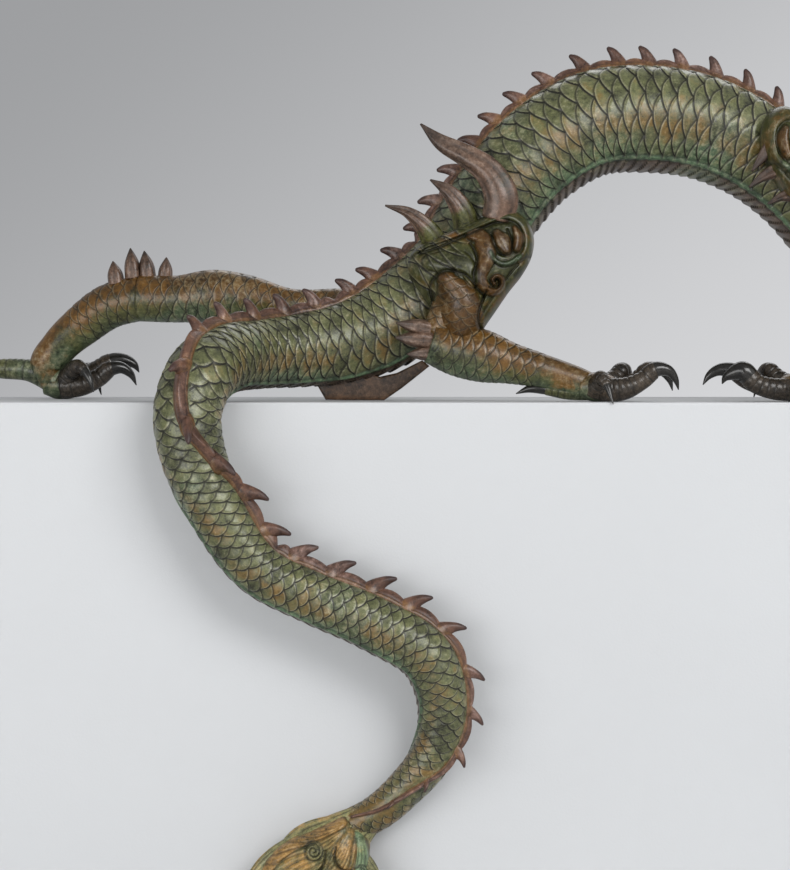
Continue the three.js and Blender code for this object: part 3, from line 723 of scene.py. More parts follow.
def sweepShell(rows, count, around, lean=viewerSide, to=place, relief=None, values=None,
               closeEnd=False, skyTone=None):
    # an oval section carried along a smooth curve; relief adds mm outward as a function of
    # length share t, angle a (0 on the lean side) and length in mm
    rows = [row if len(row) == 5 else [*row, row[3]] for row in rows]
    path = smoothRows(rows, count)
    centres = to(path)
    tangent, up, across = framesAlong(centres, lean)
    length = lengthAlong(centres) / mm
    t = (length / length[-1])[:, None]
    a = np.radians(np.linspace(0, 360, around, endpoint=False))[None]
    one, two = (np.maximum(path[:, k:k + 1], sweep["least"]) for k in (3, 4))
    if closeEnd:
        # the last rings round off over one radius
        left = (length[-1] - length[:, None]) / np.maximum(one[-1], sweep["leastReach"])
        cap = np.sqrt(np.clip(1 - np.clip(1 - left, 0, 1) ** 2, sweep["leastCap"], 1))
        one, two = one * cap, two * cap
    out = relief(t, a, length[:, None]) if relief else 0.0
    points = (centres[:, None] + ((one + out) * np.cos(a) * mm)[..., None] * up[:, None]
              + ((two + out) * np.sin(a) * mm)[..., None] * across[:, None])
    made = values(t, a, length[:, None]) if values else {}
    for key, value in made.items():
        made[key] = np.broadcast_to(value, (count, around, value.shape[-1]))
    if skyTone:
        # ochre gathers on what faces up, teal on what faces down
        skyward = np.cos(a) * up[:, 2:3] + np.sin(a) * across[:, 2:3]
        change = triple(skyTone[0] * skyward, skyTone[1] * skyward, 0.0)
        made["tone"] = made["tone"] + change
    return shell(points, made)


# rows are x, depth, height, half-thickness toward the viewer, half-thickness in the side view
nearHindLeg = {
  "thigh": [[-38, 62, 180, 12, 15], [-60, 56, 160, 28, 32], [-90, 54, 127, 40, 42],
    [-112, 50, 93, 36, 36], [-128, 48, 66, 25, 25]],
  "forearm": [[-134, 48, 61, 22], [-106, 50, 53, 27], [-76, 49, 45, 26], [-53, 48, 39, 21],
    [-28, 47, 33, 18], [-4, 46, 26, 16.5], [18, 44, 19, 15], [34, 42, 14, 12]],
  "tuft": [[-128, 44, 72, 9], [-132, 42, 62, 9], [-126, 42, 50, 8]],
  "tuftTips": [[-169, 40, 80], [-170, 38, 65], [-158, 40, 48]],
}
farHindLeg = {
  "thigh": [[-196, 140, 92, 24], [-228, 163, 101, 17], [-282, 178, 102, 16.5], [-331, 188, 109, 25],
    [-363, 193, 111, 28], [-404, 198, 108, 25], [-444, 205, 109, 25]],
  "forearm": [[-440, 204, 110, 24], [-478, 215, 101, 24], [-510, 228, 80, 22.5], [-537, 238, 56, 20],
    [-550, 243, 36, 19], [-544, 245, 16, 14]],
  "tuft": [[-470, 205, 124, 9], [-452, 204, 130, 9], [-436, 204, 130, 9], [-418, 204, 128, 8]],
  "tuftTips": [[-474, 206, 149], [-455, 205, 163], [-440, 204, 160], [-416, 203, 153]],
}
nearFrontLeg = {
  "thigh": [[262, 62, 236, 10], [274, 56, 214, 27], [293, 54, 184, 38], [315, 50, 150, 34],
    [331, 48, 122, 25]],
  "forearm": [[338, 48, 118, 22], [318, 49, 97, 25], [293, 48, 71, 22], [272, 47, 50, 19],
    [256, 45, 33, 17], [243, 43, 17, 14], [238, 42, 14, 12]],
  "tuft": [[334, 44, 132, 9], [342, 42, 120, 9], [338, 42, 106, 8]],
  "tuftTips": [[376, 40, 146], [384, 38, 126], [372, 40, 104]],
}
farFrontLeg = {
  "thigh": [[340, 140, 118, 24], [378, 165, 116, 30], [420, 185, 122, 28], [462, 200, 124, 25],
    [498, 208, 116, 24]],
  "forearm": [[494, 207, 117, 23], [524, 218, 102, 24.5], [552, 230, 80, 23], [578, 239, 56, 21],
    [592, 243, 36, 19], [594, 245, 16, 14]],
  "tuft": [[474, 206, 140, 9], [490, 206, 140, 9], [506, 208, 134, 9]],
  "tuftTips": [[456, 204, 168], [480, 205, 172], [504, 207, 166]],
}

limb = {"scalePitch": 13.0, "scaleColumns": 10, "reliefHeight": 1.2, "tuftFlutes": 5,
        "ochre": 0.66, "teal": 0.36, "sky": (0.42, -0.45), "line": 0.75,
        "bite": 0.45, "meanRise": 0.5, "blur": (0.04, 0.04), "tuftCounts": (22, 24),
        # rows and points around, of thigh and forearm
        "nearCounts": ((50, 40), (150, 96)), "farCounts": ((100, 80), (120, 80))}


def limbSkin(rows, fade, count, around):
    # scales on a limb: the same lattice, counted along the limb, free edges toward the foot
    def pattern(t, a, length):
        u = -length / limb["scalePitch"]
        v = a / (2 * np.pi) * limb["scaleColumns"]
        mask = smoothStep(fade[0] - 0.02, fade[0] + 0.1, t) * (
            1 - smoothStep(1 - fade[1] - 0.1, 1 - fade[1] + 0.02, t))
        return u, v + 0 * u, mask + 0 * a

    def relief(t, a, length):
        u, v, mask = pattern(t, a, length)
        rise = scaleRise(u, v, limb["bite"], limb["blur"])
        return (rise - limb["meanRise"]) * mask * limb["reliefHeight"]

    def values(t, a, length):
        u, v, mask = pattern(t, a, length)
        return {"lattice": triple(u, v, mask * limb["line"]),
                "tone": triple(limb["ochre"], limb["teal"], 0.0 * u)}

    return sweepShell(rows, count, around, relief=relief, values=values, skyTone=limb["sky"])


def tuftShell(row, tip):
    # a short pointed lock that leaves the elbow and curls up a little, fluted along its length
    middle = [row[n] * 0.45 + tip[n] * 0.55 for n in range(3)]
    rows = [[*row[:3], row[3]], [*middle, row[3] * 0.8], [*tip, 0.5]]
    def flutes(t, a, length):
        return 0.7 * np.cos(limb["tuftFlutes"] * a) * np.sin(np.pi * t) ** 0.5

    def tone(t, a, length):
        fluted = 0.45 * (np.cos(limb["tuftFlutes"] * a) < -0.6)
        return plainValues(t, a, 0.95, 0.3 - 0.2 * t,
                           np.maximum(fluted, 0.75 * smoothStep(0.5, 1.0, t)))

    return sweepShell(rows, *limb["tuftCounts"], relief=flutes, values=tone)


for name, legRows, core, fade in (("hindLegNear", nearHindLeg, 0.60, (0.0, 0.3)),
                                  ("hindLegFar", farHindLeg, 1.0, (0.0, 0.45)),
                                  ("frontLegNear", nearFrontLeg, 0.60, (0.0, 0.3)),
                                  ("frontLegFar", farFrontLeg, 1.0, (0.0, 0.45))):
    # a near thigh is only the core of the carved haunch or shoulder in front of it
    thighRows = [[*row[:3], *(size * core for size in row[3:])] for row in legRows["thigh"]]
    thighCounts, forearmCounts = limb["nearCounts"] if core < 1 else limb["farCounts"]
    addPiece(name, [limbSkin(thighRows, (0.1, 0.0), *thighCounts),
                    limbSkin(legRows["forearm"], fade, *forearmCounts)], limbBronze)
    addPiece(name + "Tuft", [tuftShell(row, tip) for row, tip in
                             zip(legRows["tuft"], legRows["tuftTips"])], flameBronze)
print("limbs ready")

# carved haunch
# outline and strokes are x, height (and half-width) in mm; each stroke has its height in front

haunch = {
    "outline": [[-157, 141], [-151, 154], [-126, 168], [-96, 181], [-66, 193], [-52, 196],
                [-37, 187], [-28, 166], [-30, 149], [-40, 129], [-54, 111], [-67, 92], [-78, 76],
                [-84, 66], [-98, 56], [-118, 56], [-132, 70], [-134, 91], [-145, 111],
                [-155, 127]],
    "tubes": {
        "upperRim": (7, [[-155, 149, 3.0], [-140, 159, 4.0], [-124, 166, 5.1], [-109, 172, 5.6],
                         [-94, 178, 6.1], [-79, 184, 6.1], [-66, 190, 6.6], [-54, 191, 7.1],
                         [-44, 187, 7.1], [-36, 178, 7.1], [-33, 166, 7.1], [-35, 153, 6.1],
                         [-44, 144, 4.0]]),
        "lobeInner": (7, [[-67, 170, 5.1], [-61, 162, 8.6], [-57, 153, 6.1]]),
        "lobeOuter": (8, [[-49, 176, 3.0], [-45, 166, 5.6], [-47, 155, 4.6]]),
        "scroll": (9, [[-93, 168, 5.1], [-85, 167, 9.1], [-79, 157, 10.1], [-77, 147, 9.1],
                       [-81, 136, 8.1], [-83, 125, 7.6], [-78, 115, 6.1], [-69, 111, 4.6],
                       [-62, 116, 3.5], [-62, 124, 3.0], [-68, 127, 2.5], [-72, 123, 2.2],
                       [-70, 119, 2.0]]),
        "wave": (5, [[-74, 151, 2.0], [-69, 143, 2.5], [-61, 139, 3.0], [-52, 141, 3.0], [-44, 147, 3.0]]),
        "thighMass": (13, [[-118, 123, 10.1], [-112, 111, 19.2], [-106, 95, 24.3], [-102, 77, 22.3],
                           [-104, 64, 14.2]]),
        "kneeBand": (6, [[-36, 141, 5.1], [-48, 125, 7.1], [-61, 107, 7.1], [-72, 91, 7.1],
                         [-80, 77, 6.1]]),
        "flank": (6, [[-135, 141, 8.1], [-119, 141, 12.1], [-106, 141, 12.1], [-96, 133, 9.1],
                      [-92, 121, 6.1]]),
    },
    "grooves": {
        "kneeLine": (5, [[-78, 111, 1.6], [-83, 99, 1.6], [-86, 85, 1.8], [-83, 74, 1.8], [-77, 68, 1.6]]),
        "underRim": (4.5, [[-145, 150, 1.4], [-124, 157, 1.6], [-104, 166, 1.8], [-94, 170, 1.8],
                           [-84, 175, 1.8], [-69, 181, 1.8], [-56, 182, 1.6]]),
        "scrollLeft": (3.5, [[-94, 160, 1.4], [-89, 151, 1.6], [-87, 141, 1.6], [-91, 129, 1.6],
                             [-88, 116, 1.5], [-80, 107, 1.4]]),
        "lobeLine": (4, [[-73, 168, 1.3], [-70, 157, 1.5], [-63, 149, 1.5], [-54, 149, 1.4],
                         [-52, 161, 1.4], [-56, 174, 1.2]]),
        "thighTop": (4, [[-132, 103, 1.5], [-134, 118, 1.6], [-126, 129, 1.6], [-112, 132, 1.6],
                         [-98, 127, 1.6], [-89, 117, 1.5]]),
        "thighBack": (3, [[-132, 103, 1.5], [-133, 85, 1.6], [-126, 70, 1.5]]),
        "curl": (3, [[-75, 116, 1.1], [-67, 115, 1.1], [-64, 120, 1.0], [-67, 124, 1.0], [-70, 121, 0.9]]),
    },
    "centre": [-84, 124], "edge": 60.0, "bulge": 37.0, "rings": 100, "around": 230,
}


def closedCurve(rows, count):
    # a smooth closed curve: the rows wrapped past both ends, then one turn cut out
    wrapped = np.array([[*row[:2], 0.0] for row in rows[-3:] + rows + rows[:3]], float)
    half = 3000
    path = smoothRows(wrapped, 2 * half)[:, :2]
    first = np.argmin(np.linalg.norm(path[:half] - rows[0], axis=1))
    last = half + np.argmin(np.linalg.norm(path[half:] - rows[0], axis=1))
    return path[np.linspace(first, last, count + 1).astype(int)[:-1]]


def strokeDistance(x, h, rows):
    # distance from each point to a smooth stroke, and the stroke's half-width there
    path = smoothRows(rows, 8 * len(rows))
    a, way = path[:-1], np.diff(path, axis=0)
    dx, dh = x[..., None] - a[:, 0], h[..., None] - a[:, 1]
    share = np.clip((dx * way[:, 0] + dh * way[:, 1])
                    / np.maximum(way[:, 0] ** 2 + way[:, 1] ** 2, 1e-9), 0, 1)
    gap = np.hypot(dx - share * way[:, 0], dh - share * way[:, 1])
    best = np.argmin(gap, -1)[..., None]
    width = np.take_along_axis(a[:, 2] + share * way[:, 2], best, -1)[..., 0]
    return np.take_along_axis(gap, best, -1)[..., 0], width


def trunkCoordinates(points):
    # nearest point of the trunk's middle line, as scale count and column, so scales run on
    stride, batches = 12, 12
    pick = np.arange(0, len(denseCentres), stride)
    flat = points.reshape(-1, 3)
    near = np.empty(len(flat), int)
    for part in np.array_split(np.arange(len(flat)), batches):
        gap = ((flat[part, None] - denseCentres[pick][None]) ** 2).sum(-1)
        near[part] = pick[np.argmin(gap, -1)]
    away = flat - denseCentres[near]
    count = denseCount[near] + (away * denseTangents[near]).sum(-1) / mm / densePitch[near]
    angle = np.degrees(np.arctan2((away * denseSides[near]).sum(-1),
                                  (away * denseRidges[near]).sum(-1)))
    shape = points.shape[:-1]
    return count.reshape(shape), np.abs(angle).reshape(shape) / lattice["columnAngle"]


# rings behind the outline as share and depth in mm; strokes wider than broad are low masses
plate = {"relief": 1.6, "bite": 0.5, "back": [(0.80, 34.0), (0.93, 22.0), (0.985, 8.0)],
         "pole": 0.012, "broad": 12.0, "fade": 0.05}


def carvedPlate(plan, tones, scales=None, to=place, extra=None):
    # rings shrink from the outline to its middle; depth = edge - bulge * (1 - r^2.4)^0.6,
    # raised by the highest tube stroke (a half-round) and cut by the grooves (a bell curve).
    # scales gives count, column and mask of a lattice, extra gives more height and dirt.
    edge = closedCurve(plan["outline"], plan["around"])
    centre = np.array(plan["centre"], float)
    backShares, backDepths = zip(*plate["back"])
    shares = np.linspace(1, plate["pole"], plan["rings"]) ** 0.8
    r = np.concatenate([backShares, shares])[:, None]
    behind = np.concatenate([backDepths, 0 * shares])[:, None]
    flat = centre + r[..., None] * (edge - centre)[None]
    x, h = flat[..., 0], flat[..., 1]
    dome = plan["bulge"] * np.maximum(1 - np.minimum(r, 1) ** 2.4, 0) ** 0.6
    front = (behind[:, 0] == 0)[:, None]
    rise = np.zeros(x.shape)
    dirt = np.zeros(x.shape)
    tone = {"ochre": np.full(x.shape, tones["ochre"]), "teal": np.full(x.shape, tones["teal"])}
    for name, (height, rows) in plan["tubes"].items():
        gap, width = strokeDistance(x, h, rows)
        share = gap / width
        power = np.where(width > plate["broad"], 0.8, 0.5)
        lift = height * np.maximum(1 - share ** 2, 0) ** power
        inside = 1 - smoothStep(0.75, 1.05, share)
        rise = np.maximum(rise, lift)
        dirt = np.where(inside > 0.5, dirt * 0.2, dirt)
        seam = 0.62 * np.exp(-((gap - width * 1.04) / 1.3) ** 2)
        dirt = np.maximum(dirt, seam * (width < plate["broad"]))
        ochre, teal = tones.get(name, (tones["ochre"], tones["teal"]))
        tone["ochre"] += inside * (ochre - tone["ochre"])
        tone["teal"] += inside * (teal - tone["teal"])
    for height, rows in plan["grooves"].values():
        gap, width = strokeDistance(x, h, rows)
        rise -= height * np.exp(-(gap / width) ** 2)
        dirt = np.maximum(dirt, 0.9 * np.exp(-(gap / width / 0.9) ** 2))
    fadeOut = np.clip((1 - r) / plate["fade"], 0, 1) ** 0.5
    depth = plan["edge"] - dome - rise * fadeOut + behind
    points = to(np.stack([x, depth, h], -1))
    grid = np.zeros((*x.shape, 3))
    if scales:
        count, column, mask = scales(x, h, points)
        mask = mask * front
        rise = plate["relief"] * scaleRise(count, column, plate["bite"] / plate["relief"])
        depth = depth - rise * mask
        grid = triple(count, column, mask)
    if extra:
        more, darkShare = extra(x, h)
        depth = depth - more * fadeOut * front
        dirt = np.maximum(dirt, darkShare)
    values = {"lattice": grid, "tone": triple(tone["ochre"], tone["teal"], dirt * front)}
    return shell(to(np.stack([x, depth, h], -1)), values)


haunchTones = {"ochre": 0.42, "teal": 0.30, "upperRim": (0.48, 0.25), "lobeInner": (0.85, 0.1),
               "lobeOuter": (0.75, 0.15), "scroll": (0.95, 0.1), "wave": (0.2, 0.75),
               "thighMass": (0.92, 0.15), "kneeBand": (0.5, 0.25), "flank": (0.42, 0.35)}


def haunchScales(x, h, points):
    # the trunk's own scales run on over the flank; smaller ones cover the thigh below
    count, column = trunkCoordinates(points)
    gap, width = strokeDistance(x, h, haunch["tubes"]["thighMass"][1])
    thigh = smoothStep(1.05, 0.92, gap / width)
    along = (-(x + 90) * 0.25 - (h - 100)) / 12.5
    across = ((x + 90) - (h - 100) * 0.25) / 9.5 + 20
    flankMask = (1 - smoothStep(-112, -92, x)) * (1 - thigh)
    mask = np.maximum(flankMask * smoothStep(40, 70, h), thigh * 0.45)
    return np.where(thigh > 0.5, -along, count), np.where(thigh > 0.5, across, column), mask


addPiece("haunchNear", [carvedPlate(haunch, haunchTones, haunchScales)], haunchBronze)


# the haunch's middle line runs from "from" along "axis", the shoulder's from "to" along "along"
shoulder = {"from": (-43.5, 178.7), "axis": (84.5, 112.7), "axisLength": 141.0,
            "to": (218.6, 281.0), "stretch": 1.38, "along": (0.577, -0.817),
            "across": (0.86, 0.61), "deeper": 1.0}


def towardShoulder(rows):
    # the haunch mirrored, stretched along its length and moved to the near shoulder
    dx, dh = shoulder["from"][0] - rows[..., 0], shoulder["from"][1] - rows[..., 2]
    axisX, axisH = (part / shoulder["axisLength"] for part in shoulder["axis"])
    along, across = shoulder["stretch"] * (dx * axisX + dh * axisH), dx * axisH - dh * axisX
    x, h = (start + along * one + across * two for start, one, two in
            zip(shoulder["to"], shoulder["along"], shoulder["across"]))
    return place(np.stack([x, rows[..., 1] + shoulder["deeper"], h], -1))


def shoulderScales(x, h, points):
    count, column, mask = haunchScales(x, h, points)
    return count, column, mask * (h < 120)


addPiece("shoulderNear", [carvedPlate(haunch, haunchTones, shoulderScales, towardShoulder)],
         haunchBronze)
print("haunch carved")

# feet
# rows are forward, toward the viewer, height, half-thickness
palm = [[-18, 0, 15, 10, 12], [-6, 0, 15, 14.5, 17], [10, 0, 14, 14, 18], [24, 0, 13, 9, 12]]
toes = {
  "outer": [[2, 6, 13, 12.5], [26, 8, 13, 11.5], [46, 9, 22, 9], [60, 10, 33, 8.5], [72, 10, 31, 6],
    [79, 9, 22, 3.5], [82, 8, 12, 0.5]],
  "inner": [[0, -8, 13, 12.5], [22, -13, 13, 11], [42, -14, 22, 9], [56, -14, 33, 8.5],
    [68, -14, 31, 6], [75, -13, 22, 3.5], [78, -12, 11, 0.5]],
  "nearSide": [[-2, 6, 12, 12], [1, 17, 20, 9.5], [2, 25, 24, 7.5], [6, 32, 19, 5.5],
    [13, 40, 0.8, 0.5]],
  "farSide": [[6, -8, 14, 12], [20, -18, 24, 9.5], [28, -25, 31, 9], [34, -34, 26, 5.5],
    [40, -42, 4, 0.5]],
  "back": [[0, 0, 13, 12], [-30, -4, 10.5, 8.5], [-52, -6, 13, 6.5], [-68, -6, 13, 4.5],
    [-82, -6, 8, 0.5]],
}
feet = [
  {"x": 35, "depth": 40, "toward": 1, "own": {
    "nearSide": [[-2, 6, 12, 12], [1, 17, 20, 9.5], [2, 25, 24, 7.5], [6, 32, 19, 5.5],
      [13, 43, -2, 0.5]]}},
  {"x": -536, "depth": 245, "toward": 1, "own": {
    "outer": [[2, 6, 14, 14], [26, 8, 16, 12], [44, 9, 24, 10], [56, 10, 33, 9], [68, 10, 34, 7],
      [78, 9, 27, 4.5], [84, 8, 15, 0.5]],
    "inner": [[0, -8, 16, 14], [24, -13, 22, 12], [42, -14, 34, 10], [56, -14, 42, 9],
      [70, -14, 42, 7.5], [80, -13, 37, 4.5], [85, -12, 29, 0.5]],
    "nearSide": [[4, 6, 14, 12], [14, 16, 28, 9.5], [21, 24, 35, 8.5], [28, 30, 33, 6.5],
      [35, 36, 24, 4.5], [41, 40, 8, 0.5]],
    "back": [[-2, 0, 20, 17], [-34, 0, 31, 12], [-66, -2, 33, 10.5], [-84, -3, 34, 8],
      [-98, -4, 29, 5], [-108, -4, 14, 0.5]]}},
  {"x": 240, "depth": 40, "toward": -1, "own": {
    "outer": [[2, 6, 13, 12.5], [26, 8, 13, 11], [44, 9, 18, 10], [60, 10, 31, 11], [70, 10, 28, 7],
      [76, 9, 24, 4], [79, 8, 18, 0.5]],
    "inner": [[0, -8, 13, 12.5], [30, -13, 15, 10], [50, -14, 22, 10], [68, -14, 32, 8.5],
      [80, -14, 32, 6.5], [90, -13, 26, 4], [96, -12, 17, 0.5]]}},
  {"x": 600, "depth": 245, "toward": 1, "own": {}},
]

# counts are rows and points around; overlap is how many rows flesh and claw share each way
foot = {"wrinkles": 1.0, "wrinklePitch": 6.5, "clawShare": 0.36, "rows": 60, "overlap": 3,
        "cuticle": 0.92, "palmCounts": (34, 34), "toeCounts": (46, 26), "clawCounts": (26, 18)}


def footPieces(name, plan):
    # flesh to the last knuckle with raised wrinkles across it, then a smooth hooked claw
    def to(rows):
        return place(np.stack([plan["x"] + plan["toward"] * rows[..., 0],
                               plan["depth"] - rows[..., 1], rows[..., 2]], -1))

    def wrinkled(t, a, length):
        top = 0.5 + 0.5 * np.cos(a)
        ridges = np.abs(np.sin(np.pi * length / foot["wrinklePitch"])) ** 0.6 - 0.6
        return foot["wrinkles"] * ridges * top * smoothStep(0.0, 0.15, t)

    def fleshTone(t, a, length):
        ridges = np.abs(np.sin(np.pi * length / foot["wrinklePitch"]))
        return plainValues(t, a, 0.45 - 0.3 * t, 0.4, 0.8 * (1 - smoothStep(0.0, 0.35, ridges)))

    def heelTone(t, a, length):
        return plainValues(t, a, 0.55, 0.45)

    def clawTone(t, a, length):
        return plainValues(t, a, 0.25 - 0.2 * t, 0.5)

    heel = [sweepShell(palm, *foot["palmCounts"], upward, to, None, heelTone, closeEnd=True,
                       skyTone=limb["sky"])]
    flesh, claws = [], []
    for label, rows in {**toes, **plan.get("own", {})}.items():
        lean = lengthways if label.endswith("Side") else upward
        rows = np.array([[*row, row[3]] for row in rows], float)
        whole = smoothRows(rows, foot["rows"])
        cut = int(foot["rows"] * (1 - foot["clawShare"]))
        fleshPart = whole[:cut + foot["overlap"]]
        clawPart = whole[cut - foot["overlap"]:].copy()
        clawPart[:, 3:] *= foot["cuticle"]
        group = heel if label == "back" else flesh
        group.append(sweepShell(fleshPart.tolist(), *foot["toeCounts"], lean, to, wrinkled,
                                fleshTone, closeEnd=True))
        claws.append(sweepShell(clawPart.tolist(), *foot["clawCounts"], lean, to, None, clawTone))
    addPiece(name + "Heel", heel, limbBronze)
    addPiece(name + "Toes", flesh, toeBronze)
    addPiece(name + "Claws", claws, clawBronze)


for name, plan in zip(("footHindNear", "footHindFar", "footFrontNear", "footFrontFar"), feet):
    footPieces(name, plan)
print("feet ready")

# flames on haunch and shoulder
# rows are x, depth, height, half-thickness, half-width
flames = [
  [[-66, 50, 186, 12, 16], [-62, 46, 204, 10, 17], [-74, 48, 232, 8, 14], [-98, 52, 250, 6, 11],
    [-123, 56, 264, 4, 8], [-144, 60, 283, 0.5, 1]],
  [[-96, 66, 172, 14, 14], [-102, 56, 195, 9, 11], [-116, 54, 214, 5, 7], [-134, 58, 226, 0.5, 1]],
  [[-126, 68, 156, 14, 14], [-138, 57, 176, 8, 10], [-156, 55, 192, 4, 5.5],
    [-180, 60, 200, 0.5, 1]],
  [[285, 56, 222, 12, 16], [266, 50, 256, 10, 16], [245, 48, 278, 8, 14], [224, 48, 270, 6, 10],
    [205, 50, 250, 4, 6], [193, 52, 234, 0.5, 1]],
  [[275, 54, 206, 10, 14], [252, 48, 232, 8, 12], [228, 48, 237, 6, 9], [207, 49, 230, 4, 5.5],
    [190, 51, 218, 0.5, 1]],
  [[264, 56, 192, 8, 11], [246, 50, 208, 6, 9], [226, 50, 209, 4, 5], [209, 51, 201, 0.5, 1]],
  [[-84, 158, 166, 12, 14], [-88, 170, 196, 8, 12], [-104, 174, 218, 4, 7],
    [-124, 172, 232, 0.5, 1]],
  [[300, 158, 188, 12, 14], [284, 170, 222, 8, 12], [262, 174, 238, 4, 7],
    [240, 172, 240, 0.5, 1]],
]

flame = {"flutes": 4, "fluteDepth": 1.0, "twist": 2.5, "counts": (58, 38),
         "brown": [0.85, 0.25, 0.3, 0.7, 0.6, 0.4, 0.5, 0.5]}


def flameShell(rows, brown):
    # a flattened horn with shallow flutes along it, dark and smooth toward the tip;
    # brown is how far the brown of the tip reaches down to the foot
    def groove(t, a, length):
        wave = np.cos(flame["flutes"] * a + flame["twist"] * t)
        return flame["fluteDepth"] * wave * np.sin(np.pi * np.clip(t, 0, 1)) ** 0.7

    def tone(t, a, length):
        wave = np.cos(flame["flutes"] * a + flame["twist"] * t)
        fluted = 0.5 * smoothStep(0.5, 0.95, -wave)
        return plainValues(t, a, brown + (1.05 - brown) * smoothStep(0.2, 0.6, t), 0.35,
                           np.maximum(fluted, 0.8 * smoothStep(0.55, 1.0, t)))

    return sweepShell(rows, *flame["counts"], relief=groove, values=tone)


addPiece("flames", [flameShell(rows, brown) for rows, brown in zip(flames, flame["brown"])],
         flameBronze)

# fin under the hip
# lower and upper edge as x, height pairs, from the hip to the arm that meets the thigh
fin = {"low": [[-250, 15], [-242, 1], [-222, 0.6], [-200, 0.6], [-181, 0.6], [-163, 13], [-134, 36]],
       "high": [[-250, 40], [-238, 40], [-214, 40], [-199, 30], [-186, 25], [-168, 29], [-142, 42]],
       "depth": 100.0, "half": 7.0, "square": 0.3, "along": 90, "around": 40}


def finShell():
    # a rounded-rectangle section between the two edges: cos and sin each to a small power
    share = np.linspace(0, 1, len(fin["low"]))
    at = np.linspace(0, 1, fin["along"])
    low, high = (np.stack([np.interp(at, share, np.array(fin[key], float)[:, k]) for k in (0, 1)],
                          -1) for key in ("low", "high"))
    middle, half = (low + high) / 2, (high - low) / 2
    a = np.radians(np.linspace(0, 360, fin["around"], endpoint=False))

    def squared(wave):
        return np.sign(wave) * np.abs(wave) ** fin["square"]

    flat = middle[:, None] + half[:, None] * squared(np.cos(a))[None, :, None]
    deep = np.broadcast_to(fin["depth"] + fin["half"] * squared(np.sin(a)), flat.shape[:2])
    rings = place(np.stack([flat[..., 0], deep, flat[..., 1]], -1))
    return shell(rings, {"tone": triple(np.full(rings.shape[:2], 0.4), 0.4, 0.0)})


addPiece("hipFin", [finShell()], finBronze)
print("flames and fin ready")

# tail tuft
# locks: x, depth, height, half-thickness, half-width
tuftLocks = [
  [[-194, -33, -410, 16, 16], [-220, -33, -430, 20, 27], [-245, -34, -454, 22, 43],
    [-250, -34, -486, 21, 46], [-250, -34, -520, 17, 36], [-244, -34, -552, 11, 18],
    [-236, -34, -588, 1, 1]],
  [[-226, -35, -428, 14, 16], [-262, -36, -440, 14, 15], [-298, -36, -464, 11, 13],
    [-314, -36, -492, 8, 10], [-316, -35, -520, 4, 6], [-306, -35, -540, 1, 1]],
  [[-240, -34, -462, 14, 16], [-282, -34, -486, 12, 15], [-306, -34, -520, 8, 11],
    [-318, -34, -556, 1, 1]],
  [[-238, -34, -480, 14, 16], [-272, -34, -516, 12, 14], [-284, -34, -552, 7, 10],
    [-280, -34, -590, 1, 1]],
  [[-226, -35, -440, 15, 14], [-204, -36, -462, 14, 15], [-192, -36, -492, 11, 13],
    [-184, -36, -520, 7, 9], [-166, -35, -546, 1, 1]],
  [[-228, -34, -470, 14, 15], [-212, -34, -508, 12, 14], [-200, -34, -545, 8, 10],
    [-186, -34, -584, 1, 1]],
]

tuft = {"flutes": 9, "fluteDepth": 1.6, "twist": 2.4, "coreDepth": 0.72, "coreWidth": 0.96,
        "counts": (70, 66)}


def lockShell(rows):
    # a lock of hair: deep flutes along it that turn slowly, so the strands flow round the form
    def wave(t, a):
        return np.abs(np.cos(tuft["flutes"] * a + tuft["twist"] * np.sin(3.0 * t)))

    def groove(t, a, length):
        ends = smoothStep(0.0, 0.12, t) * (1 - smoothStep(0.82, 1.0, t))
        return tuft["fluteDepth"] * (wave(t, a) ** 0.7 - 0.6) * ends

    def tone(t, a, length):
        return plainValues(t, a, 0.55 + 0.15 * np.cos(a), 0.35 - 0.2 * t,
                           0.8 * (1 - smoothStep(0.1, 0.5, wave(t, a))))

    return sweepShell(rows, *tuft["counts"], relief=groove, values=tone)


# the first lock is only the core behind the tuft's carved front
tuftLocks[0] = [[*row[:3], row[3] * tuft["coreDepth"], row[4] * tuft["coreWidth"]]
                for row in tuftLocks[0]]
addPiece("tailTuft", [lockShell(rows) for rows in tuftLocks], tuftBronze)

# the tuft's front: hair lines fan out from the neck of the tail and wind into small spirals
tuftFront = {
    "outline": [[-209, -418], [-196, -430], [-195, -446], [-195, -462], [-200, -486], [-210, -512],
                [-224, -545], [-236, -580], [-252, -556], [-268, -532], [-290, -510], [-306, -486],
                [-304, -462], [-293, -445], [-272, -430], [-251, -421], [-232, -413], [-218, -408]],
    "centre": [-246, -470], "edge": -38.0, "bulge": 26.0, "rings": 118, "around": 250,
    "tubes": {"upperLock": (3.5, [[-222, -414, 5], [-250, -424, 8], [-278, -436, 9],
                                  [-298, -458, 8], [-303, -482, 5]]),
              "middleLock": (3.0, [[-214, -424, 5], [-222, -440, 9], [-226, -456, 10],
                                   [-236, -470, 8], [-252, -476, 5]]),
              "rightLock": (3.0, [[-206, -424, 4], [-202, -440, 6], [-203, -458, 7],
                                  [-210, -480, 6], [-222, -500, 4]]),
              "lowerLock": (3.5, [[-262, -486, 6], [-262, -508, 10], [-252, -530, 9],
                                  [-240, -556, 5]])},
    "grooves": {"first": (3.0, [[-238, -440, 1.2], [-240, -452, 1.6], [-247, -462, 1.6],
                                [-256, -466, 1.2]]),
                "second": (3.0, [[-228, -436, 1.2], [-229, -448, 1.6], [-223, -457, 1.6],
                                 [-214, -460, 1.2]])},
    "spirals": [[-250, -440, 8.5], [-205, -463, 8.0], [-259, -467, 7.5], [-232, -496, 8.0],
                [-278, -492, 7.5], [-246, -524, 7.0]],
    "neck": [-205, -408], "hairs": 74, "hairDepth": 0.55, "spiralDepth": 2.2,
}
